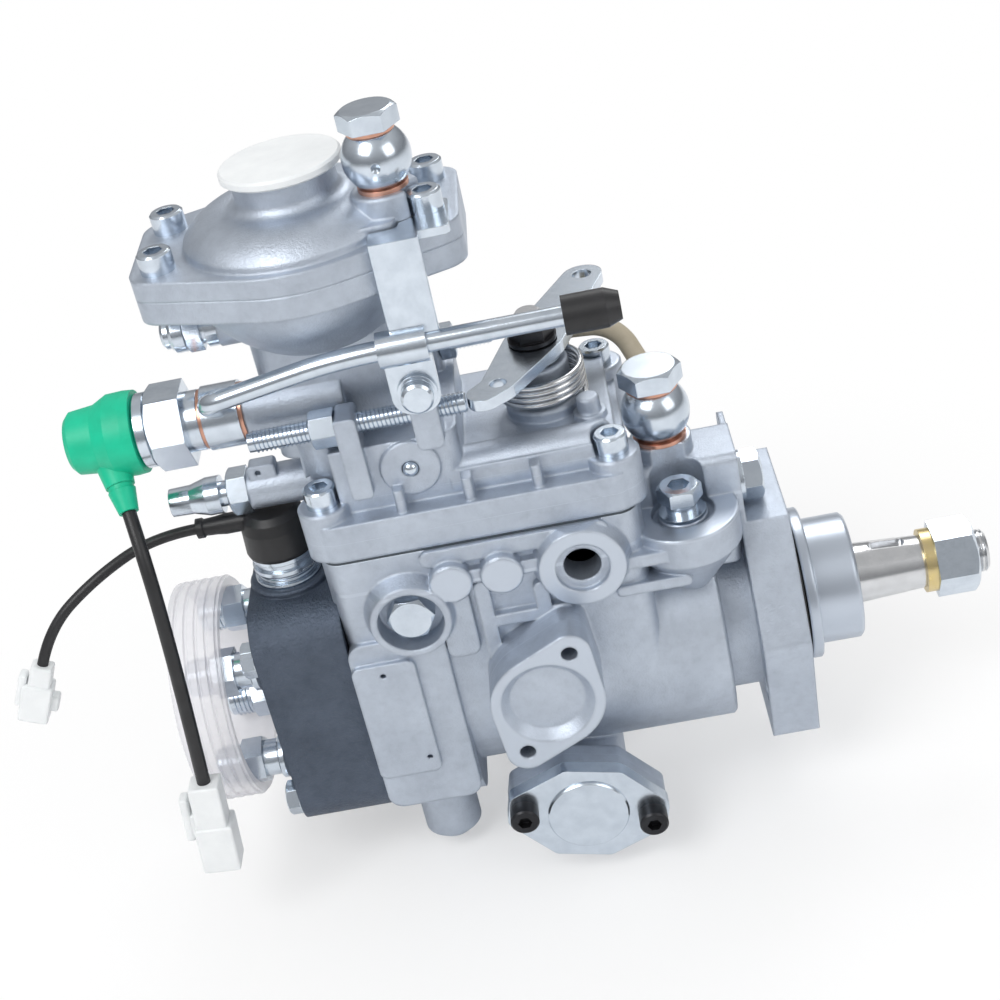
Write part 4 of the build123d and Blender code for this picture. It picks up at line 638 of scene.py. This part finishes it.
@dataclass
class Stage:
    """The pale floor, the soft lamps, the surroundings and the camera at the photograph's angle."""

    floor_height: float = -62.0
    floor_side: float = 6000.0
    floor_colour: Colour = (0.93, 0.93, 0.93)
    floor_roughness: float = 0.9
    centre: Span = (-85.0, 30.0)
    fade: Span = (90.0, 260.0)
    whitest: float = 0.55
    least_white: float = 0.45
    camera_place: Point = (-48.71, -488.50, 346.96)
    azimuth: float = 4.54
    elevation: float = 31.01
    roll: float = 12.9
    lens: float = 64.8
    sensor: float = 36.0
    room_low: Colour = (0.16, 0.17, 0.19)
    room_rise: Span = (-0.30, 0.70)
    room_strength: float = 0.60
    lamps: tuple[Lamp, ...] = (
        Lamp("key_lamp", (-650.0, -750.0, 1050.0), 700.0, 9.8),
        Lamp("fill_lamp", (950.0, -750.0, 750.0), 800.0, 4.0),
        Lamp("rim_lamp", (250.0, 950.0, 950.0), 600.0, 5.0),
    )

    def floor(self) -> None:
        """Adds the floor, which fades to white away from the pump."""
        deselect()
        place = (0, 0, self.floor_height * MM)
        bpy.ops.mesh.primitive_plane_add(size=self.floor_side * MM, location=place)
        floor = bpy.context.object
        floor.name = "floor"
        graph = Graph("floor")
        graph.set(Base_Color=(*self.floor_colour, 1.0), Roughness=self.floor_roughness)
        across = graph.along(Axis.X) - self.centre[0] * MM
        deep = graph.along(Axis.Y) - self.centre[1] * MM
        away = (across * across + deep * deep).root().ramp(self.fade[0] * MM, self.fade[1] * MM)
        graph.fade_to_white(away * self.whitest + self.least_white)
        paint(floor, graph.material)

    def camera(self) -> None:
        """Adds the camera, turned by its azimuth, elevation and roll."""
        azimuth, elevation, roll = (math.radians(v) for v in (self.azimuth, self.elevation, self.roll))
        outward = Vector((math.sin(azimuth), -math.cos(azimuth), 0))
        back = outward * math.cos(elevation) + Vector((0, 0, math.sin(elevation)))
        level = Vector((math.cos(azimuth), math.sin(azimuth), 0))
        rise = back.cross(level)
        right = level * math.cos(roll) - rise * math.sin(roll)
        up = level * math.sin(roll) + rise * math.cos(roll)
        data = bpy.data.cameras.new("camera")
        data.lens, data.sensor_width = self.lens, self.sensor
        camera = bpy.data.objects.new("camera", data)
        bpy.context.scene.collection.objects.link(camera)
        turn = Matrix((right, up, back)).transposed().to_4x4()
        camera.matrix_world = Matrix.Translation(Vector(self.camera_place) * MM) @ turn
        bpy.context.scene.camera = camera

    def surroundings(self) -> None:
        """Adds a pale room, darker low down so that metal shows its shape, and white to the camera."""
        world = bpy.data.worlds.new("surroundings")
        world.use_nodes = True
        tree = Tree(world.node_tree)
        direction = tree.node("ShaderNodeTexCoord", {}, {}, "Generated")
        height = tree.node("ShaderNodeSeparateXYZ", {}, {0: direction}, "Z")
        room = tree.tint(height.ramp(*self.room_rise), self.room_low, WHITE)
        soft = tree.node("ShaderNodeBackground", {}, {"Color": room, "Strength": self.room_strength})
        plain = tree.node("ShaderNodeBackground", {}, {"Color": (*WHITE, 1.0), "Strength": 1.0})
        seen = tree.node("ShaderNodeLightPath", {}, {}, "Is Camera Ray")
        output = tree.tree.nodes.new("ShaderNodeOutputWorld")
        choice = tree.node("ShaderNodeMixShader", {}, {0: seen, 1: soft, 2: plain})
        tree.feed(output.inputs["Surface"], choice)
        bpy.context.scene.world = world

    def build(self) -> None:
        """Adds the whole stage."""
        bpy.context.scene.view_settings.view_transform = "Standard"
        self.floor()
        self.camera()
        for lamp in self.lamps:
            lamp.add()
        self.surroundings()
        LOG.info("stage ready")


@dataclass
class CarriedNodes:
    """Dresses the pump's CAD nodes with the finish of their material slot."""

    materials: dict[str, bpy.types.Material]
    finishes: Finishes
    threads: tuple[tuple[str, Thread], ...] = (
        ("solenoid_body", Thread(SOLENOID_NECK, pitch=1.25)),
    )

    def build(self, frame: dict) -> None:
        """Gives every node its material, with a thread where it has one.
        """
        threads = dict(self.threads)
        for entry in frame["record"]["subparts"]:
            node, slot = entry["node"], entry["material_slot"]
            material = self.materials[slot]
            if node in threads:
                plain = getattr(self.finishes, slot)
                material = replace(plain, name=f"{node}_finish", threads=(threads[node],)).build()
            paint(frame["nodes"][node], material)
            LOG.info("dressed %s in %s", node, material.name)


@dataclass(frozen=True)
class Block:
    """A box of a moulding, from its limits across, in depth and along the lead."""

    across: Span
    deep: Span
    along: Span

    def add(self, rounding: float = 0.0) -> bpy.types.Object:
        """Adds the box.

        Args:
            rounding: radius of its edges, in millimetres.

        Returns:
            The box, in the connector's own frame.
        """
        deselect()
        limits = (self.across, self.deep, self.along)
        bpy.ops.mesh.primitive_cube_add(
            size=1.0,
            location=[(low + high) / 2 * MM for low, high in limits],
            scale=[(high - low) * MM for low, high in limits],
        )
        fix_place()
        box = bpy.context.object
        if rounding:
            bevel = box.modifiers.new("rounding", "BEVEL")
            bevel.width, bevel.segments = rounding * MM, ROUNDING_SEGMENTS
            bpy.ops.object.modifier_apply(modifier=bevel.name)
        return box


def combine(base: bpy.types.Object, tool: bpy.types.Object, cut: Cut) -> None:
    """Combines a solid with another, which is used up.

    Args:
        base: the solid that stays.
        tool: the solid that is joined to it or taken from it.
        cut: which of the two.
    """
    deselect()
    bpy.context.view_layer.objects.active = base
    modifier = base.modifiers.new("combine", "BOOLEAN")
    modifier.operation, modifier.solver, modifier.object = cut.value, "EXACT", tool
    bpy.ops.object.modifier_apply(modifier=modifier.name)
    bpy.data.objects.remove(tool)


def clean(obj: bpy.types.Object) -> None:
    """Merges points that lie on each other, drops faces with no area and turns normals out.

    Args:
        obj: the piece.
    """
    deselect()
    bpy.context.view_layer.objects.active = obj
    bpy.ops.object.mode_set(mode="EDIT")
    bpy.ops.mesh.select_all(action="SELECT")
    bpy.ops.mesh.remove_doubles(threshold=MERGE_DISTANCE * MM)
    bpy.ops.mesh.dissolve_degenerate(threshold=MERGE_DISTANCE * MM)
    bpy.ops.mesh.normals_make_consistent(inside=False)
    bpy.ops.object.mode_set(mode="OBJECT")


@dataclass(frozen=True)
class Connector:
    """A white moulded connector with its latch, an open mouth and rounded edges."""

    name: str
    replaces: str
    blocks: tuple[Block, ...]
    mouth: Block
    tongue: Block
    rounding: float = 0.9

    def build(self, route: tuple[Point, ...], material: bpy.types.Material) -> bpy.types.Object:
        """Makes the connector at a lead's end.

        Args:
            route: the lead's control points.
            material: its plastic.

        Returns:
            The piece.
        """
        shell = self.blocks[0].add(self.rounding)
        shell.name = self.name
        for block in self.blocks[1:]:
            combine(shell, block.add(self.rounding), Cut.JOIN)
        combine(shell, self.mouth.add(), Cut.TAKE)
        combine(shell, self.tongue.add(), Cut.JOIN)
        clean(shell)
        end = Vector(route[-1])
        down = (end - Vector(route[-2])).normalized()
        across = down.cross(Vector((0, 1, 0))).normalized()
        turn = Matrix((across, down.cross(across), down)).transposed().to_4x4()
        shell.matrix_world = Matrix.Translation(end * MM) @ turn
        settle(shell, "casing", "white_plastic", material)
        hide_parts(self.replaces)
        return shell


@dataclass(frozen=True)
class Lead:
    """A free lead, as a smooth curve from its boot to its connector."""

    name: str
    replaces: str
    route: tuple[Point, ...]
    radius: float
    length: float
    connector: Connector
    roundness: int = 5
    smoothness: int = 16

    def curve(self, material: bpy.types.Material) -> bpy.types.Object:
        """Draws the lead.

        Args:
            material: its rubber.

        Returns:
            The curve.
        """
        curve = bpy.data.curves.new(self.name, "CURVE")
        curve.dimensions = "3D"
        curve.bevel_depth, curve.bevel_resolution = self.radius * MM, self.roundness
        curve.resolution_u, curve.use_fill_caps = self.smoothness, True
        spline = curve.splines.new("NURBS")
        spline.points.add(len(self.route) - 1)
        for point, place in zip(spline.points, self.route):
            point.co = (*(v * MM for v in place), 1.0)
        spline.order_u = 3
        spline.use_endpoint_u = True
        lead = bpy.data.objects.new(self.name, curve)
        bpy.context.scene.collection.objects.link(lead)
        curve.materials.append(material)
        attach(lead, "casing")
        return lead

    def build(self, rubber: bpy.types.Material, plastic: bpy.types.Material) -> None:
        """Args:
            rubber: the lead's material.
            plastic: the connector's material.
        """
        plug = self.connector.build(self.route, plastic)
        lead = self.curve(rubber)
        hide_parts(self.replaces)
        [v * MM for v in self.route[0]]
        2 * self.radius * MM
        LOG.info("made %s", self.name)


SWITCH_LEAD = Lead(
    "switch_lead",
    "switch_cord",
    route=(
        (-193.493, -30.256, 89.920),
        (-190.873, -39.829, 80.045),
        (-190.5, -44.5, 60.0),
        (-191.6, -48.5, 30.0),
        (-193.8, -50.5, 0.0),
    ),
    radius=2.15,
    length=93.5,
    connector=Connector(
        "switch_connector",
        "switch_plug",
        blocks=(
            Block((-4.9, 4.9), (-4.5, 4.5), (-1.5, 16.0)),
            Block((-5.6, 6.4), (-5.2, 5.2), (13.5, 30.5)),
            Block((-8.9, -6.1), (-2.7, 2.7), (3.0, 19.0)),
            Block((-7.0, -4.0), (-2.6, 2.6), (9.0, 18.2)),
        ),
        mouth=Block((-4.2, 5.0), (-3.8, 3.8), (22.0, 31.5)),
        tongue=Block((-1.3, 2.1), (-1.6, 1.6), (21.0, 29.0)),
    ),
)
SOLENOID_LEAD = Lead(
    "solenoid_lead",
    "solenoid_cord",
    route=(
        (-181.0, -10.0, 68.3),
        (-195.0, -10.0, 68.3),
        (-214.0, -20.0, 63.5),
        (-231.5, -27.0, 52.5),
        (-237.2, -29.0, 40.0),
    ),
    radius=1.75,
    length=69.5,
    connector=Connector(
        "solenoid_connector",
        "solenoid_plug",
        blocks=(
            Block((-3.4, 3.6), (-3.6, 3.6), (-1.5, 8.0)),
            Block((-5.0, 4.6), (-4.6, 4.6), (5.0, 17.5)),
            Block((-6.6, -3.9), (-3.2, 3.2), (2.6, 13.0)),
            Block((3.0, 7.0), (-2.4, 2.4), (8.0, 13.5)),
        ),
        mouth=Block((-3.9, 3.5), (-3.4, 3.4), (12.0, 18.5)),
        tongue=Block((-1.2, 0.8), (-1.2, 1.2), (11.0, 16.5)),
    ),
)


@dataclass(frozen=True)
class Winding:
    """A profile with equal sides, wound about +Z.

    It is turned in its own plane by `tilt`, and `steps` counts the faces round one turn.
    """

    sides: int
    profile_radius: float
    radius: float
    tilt: float
    turns: float
    rise: float
    steps: int
    smooth: bool

    def build(self, name: str) -> bpy.types.Object:
        """Winds it.

        Args:
            name: the piece's name.

        Returns:
            The piece, with both its ends open.
        """
        deselect()
        bpy.ops.mesh.primitive_circle_add(
            vertices=self.sides,
            radius=self.profile_radius * MM,
            location=(self.radius * MM, 0, 0),
            rotation=(QUARTER_TURN, self.tilt, 0),
        )
        piece = bpy.context.object
        piece.name = name
        fix_place()
        screw = piece.modifiers.new("winding", "SCREW")
        screw.axis = "Z"
        screw.angle = FULL_TURN * self.turns
        screw.screw_offset = self.rise * MM
        screw.steps = screw.render_steps = round(self.steps * self.turns)
        screw.use_smooth_shade = self.smooth
        bpy.ops.object.modifier_apply(modifier=screw.name)
        return piece


@dataclass
class LeverSpring:
    """The throttle lever's return spring, a close-wound coil with two straight legs.

    An open end's points lie within `catch` wire radii of its middle and `flatness` of its plane.
    """

    materials: dict[str, bpy.types.Material]
    hub: Point = (-67.0, -1.5, 89.5)
    mean_radius: float = 13.0
    wire_radius: float = 0.97
    pitch: float = 2.0
    turns: float = 4.5
    first_leg: float = 8.0
    second_leg: float = 12.5
    sides: int = 14
    steps: int = 44
    catch: float = 1.05
    flatness: float = 0.01

    def build(self) -> None:
        """Winds the coil, draws out its legs and closes their ends."""
        rise = self.pitch * self.turns
        coil = Winding(
            sides=self.sides,
            profile_radius=self.wire_radius,
            radius=self.mean_radius,
            tilt=0.0,
            turns=self.turns,
            rise=rise,
            steps=self.steps,
            smooth=True,
        ).build("spring_coil")
        self.draw_leg(coil, Vector((self.mean_radius, 0, 0)), self.first_leg)
        self.draw_leg(coil, Vector((-self.mean_radius, 0, rise)), self.second_leg)
        coil.location = Vector(self.hub) * MM
        bpy.ops.object.shade_smooth()
        settle(coil, "casing", "machined_steel", self.materials["machined_steel"])
        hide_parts("return_spring")

    def draw_leg(self, coil: bpy.types.Object, middle: Vector, length: float) -> None:
        """Draws one open end of the wire out towards -Y and closes it.

        Args:
            coil: the wound wire.
            middle: middle of the open end, in millimetres from the coil's foot.
            length: the leg's length.
        """
        bpy.ops.object.mode_set(mode="EDIT")
        bpy.ops.mesh.select_all(action="DESELECT")
        bpy.ops.object.mode_set(mode="OBJECT")
        reach = self.catch * self.wire_radius * MM
        for vertex in coil.data.vertices:
            level = abs(vertex.co.y) < self.flatness * MM
            vertex.select = level and (vertex.co - middle * MM).length < reach
        bpy.ops.object.mode_set(mode="EDIT")
        bpy.ops.mesh.extrude_region_move(TRANSFORM_OT_translate={"value": (0, -length * MM, 0)})
        bpy.ops.mesh.edge_face_add()
        bpy.ops.mesh.select_all(action="SELECT")
        bpy.ops.mesh.normals_make_consistent(inside=False)
        bpy.ops.object.mode_set(mode="OBJECT")


@dataclass(frozen=True)
class Ridge:
    """A screw thread's ridge round a plain CAD shank."""

    name: str
    body: str
    slot: str
    axis: Axis
    start: Point
    length: float
    radius: float
    pitch: float


@dataclass
class ScrewThreads:
    """The threads that show on the pump's screws, stud and outlets.

    A ridge's height and its profile's radius are shares of its pitch, and `crest` softens its edges.
    """

    finishes: Finishes
    ridges: tuple[Ridge, ...] = (
        Ridge(
            "stop_screw_thread",
            "casing",
            "zinc_steel",
            Axis.X,
            start=(-151.8, -29.0, 104.7),
            length=62.0,
            radius=3.0,
            pitch=1.25,
        ),
        Ridge(
            "top_screw_thread",
            "casing",
            "zinc_steel",
            Axis.X,
            start=(-101.0, 13.0, 104.7),
            length=20.0,
            radius=3.0,
            pitch=1.25,
        ),
        Ridge(
            "lever_stud_thread",
            "throttle",
            "machined_steel",
            Axis.Z,
            start=(-67.0, -1.5, 107.5),
            length=7.6,
            radius=4.0,
            pitch=1.25,
        ),
    )
    outlet: Ridge = Ridge(
        "outlet_thread",
        "casing",
        "zinc_steel",
        Axis.X,
        start=(-195.4, 0.0, 0.0),
        length=6.2,
        radius=6.0,
        pitch=1.5,
    )
    outlet_circle: float = 26.0
    height: float = 0.34
    profile: float = 0.505
    steps: int = 26
    crest: float = 0.03

    def outlets(self) -> list[Ridge]:
        """Returns the ridges of the four delivery outlets, at the corners of a square."""
        offset = self.outlet_circle / math.sqrt(2)
        corners = [(y * offset, z * offset) for y in (-1, 1) for z in (-1, 1)]
        return [
            replace(self.outlet, name=f"{self.outlet.name}_{number}", start=(self.outlet.start[0], y, z))
            for number, (y, z) in enumerate(corners, 1)
        ]

    def build(self) -> None:
        """Winds every ridge, with the finish of its slot over sharper edges."""
        ridges = [*self.ridges, *self.outlets()]
        sharp = {}
        for slot in sorted({ridge.slot for ridge in ridges}):
            plain = getattr(self.finishes, slot)
            sharp[slot] = replace(plain, name=f"{slot}_thread", edge=self.crest).build()
        for ridge in ridges:
            self.wind(ridge, sharp[ridge.slot])

    def wind(self, ridge: Ridge, material: bpy.types.Material) -> None:
        """Winds one ridge from a three-sided profile and closes its two ends.

        Args:
            ridge: where it goes and how it is cut.
            material: its material.
        """
        size = self.profile * ridge.pitch
        thread = Winding(
            sides=3,
            profile_radius=size,
            radius=ridge.radius + self.height * ridge.pitch - size,
            tilt=QUARTER_TURN,
            turns=ridge.length / ridge.pitch,
            rise=ridge.length,
            steps=self.steps,
            smooth=False,
        ).build(ridge.name)
        bpy.ops.object.mode_set(mode="EDIT")
        bpy.ops.mesh.select_all(action="SELECT")
        bpy.ops.mesh.fill_holes(sides=3)
        bpy.ops.mesh.normals_make_consistent(inside=False)
        bpy.ops.object.mode_set(mode="OBJECT")
        if ridge.axis is Axis.X:
            thread.rotation_euler = (0, QUARTER_TURN, 0)
        thread.location = Vector(ridge.start) * MM
        settle(thread, ridge.body, ridge.slot, material)


def main() -> None:
    """Builds the dressed pump and its stage."""
    logging.basicConfig(level=logging.INFO, format="%(name)s: %(message)s")
    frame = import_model()
    Stage().build()
    finishes = Finishes()
    materials = {entry.name: getattr(finishes, entry.name).build() for entry in fields(finishes)}
    CarriedNodes(materials, finishes).build(frame)
    for lead in (SWITCH_LEAD, SOLENOID_LEAD):
        lead.build(materials["black_rubber"], materials["white_plastic"])
    LeverSpring(materials).build()
    ScrewThreads(finishes).build()


if __name__ == "__main__":
    main()
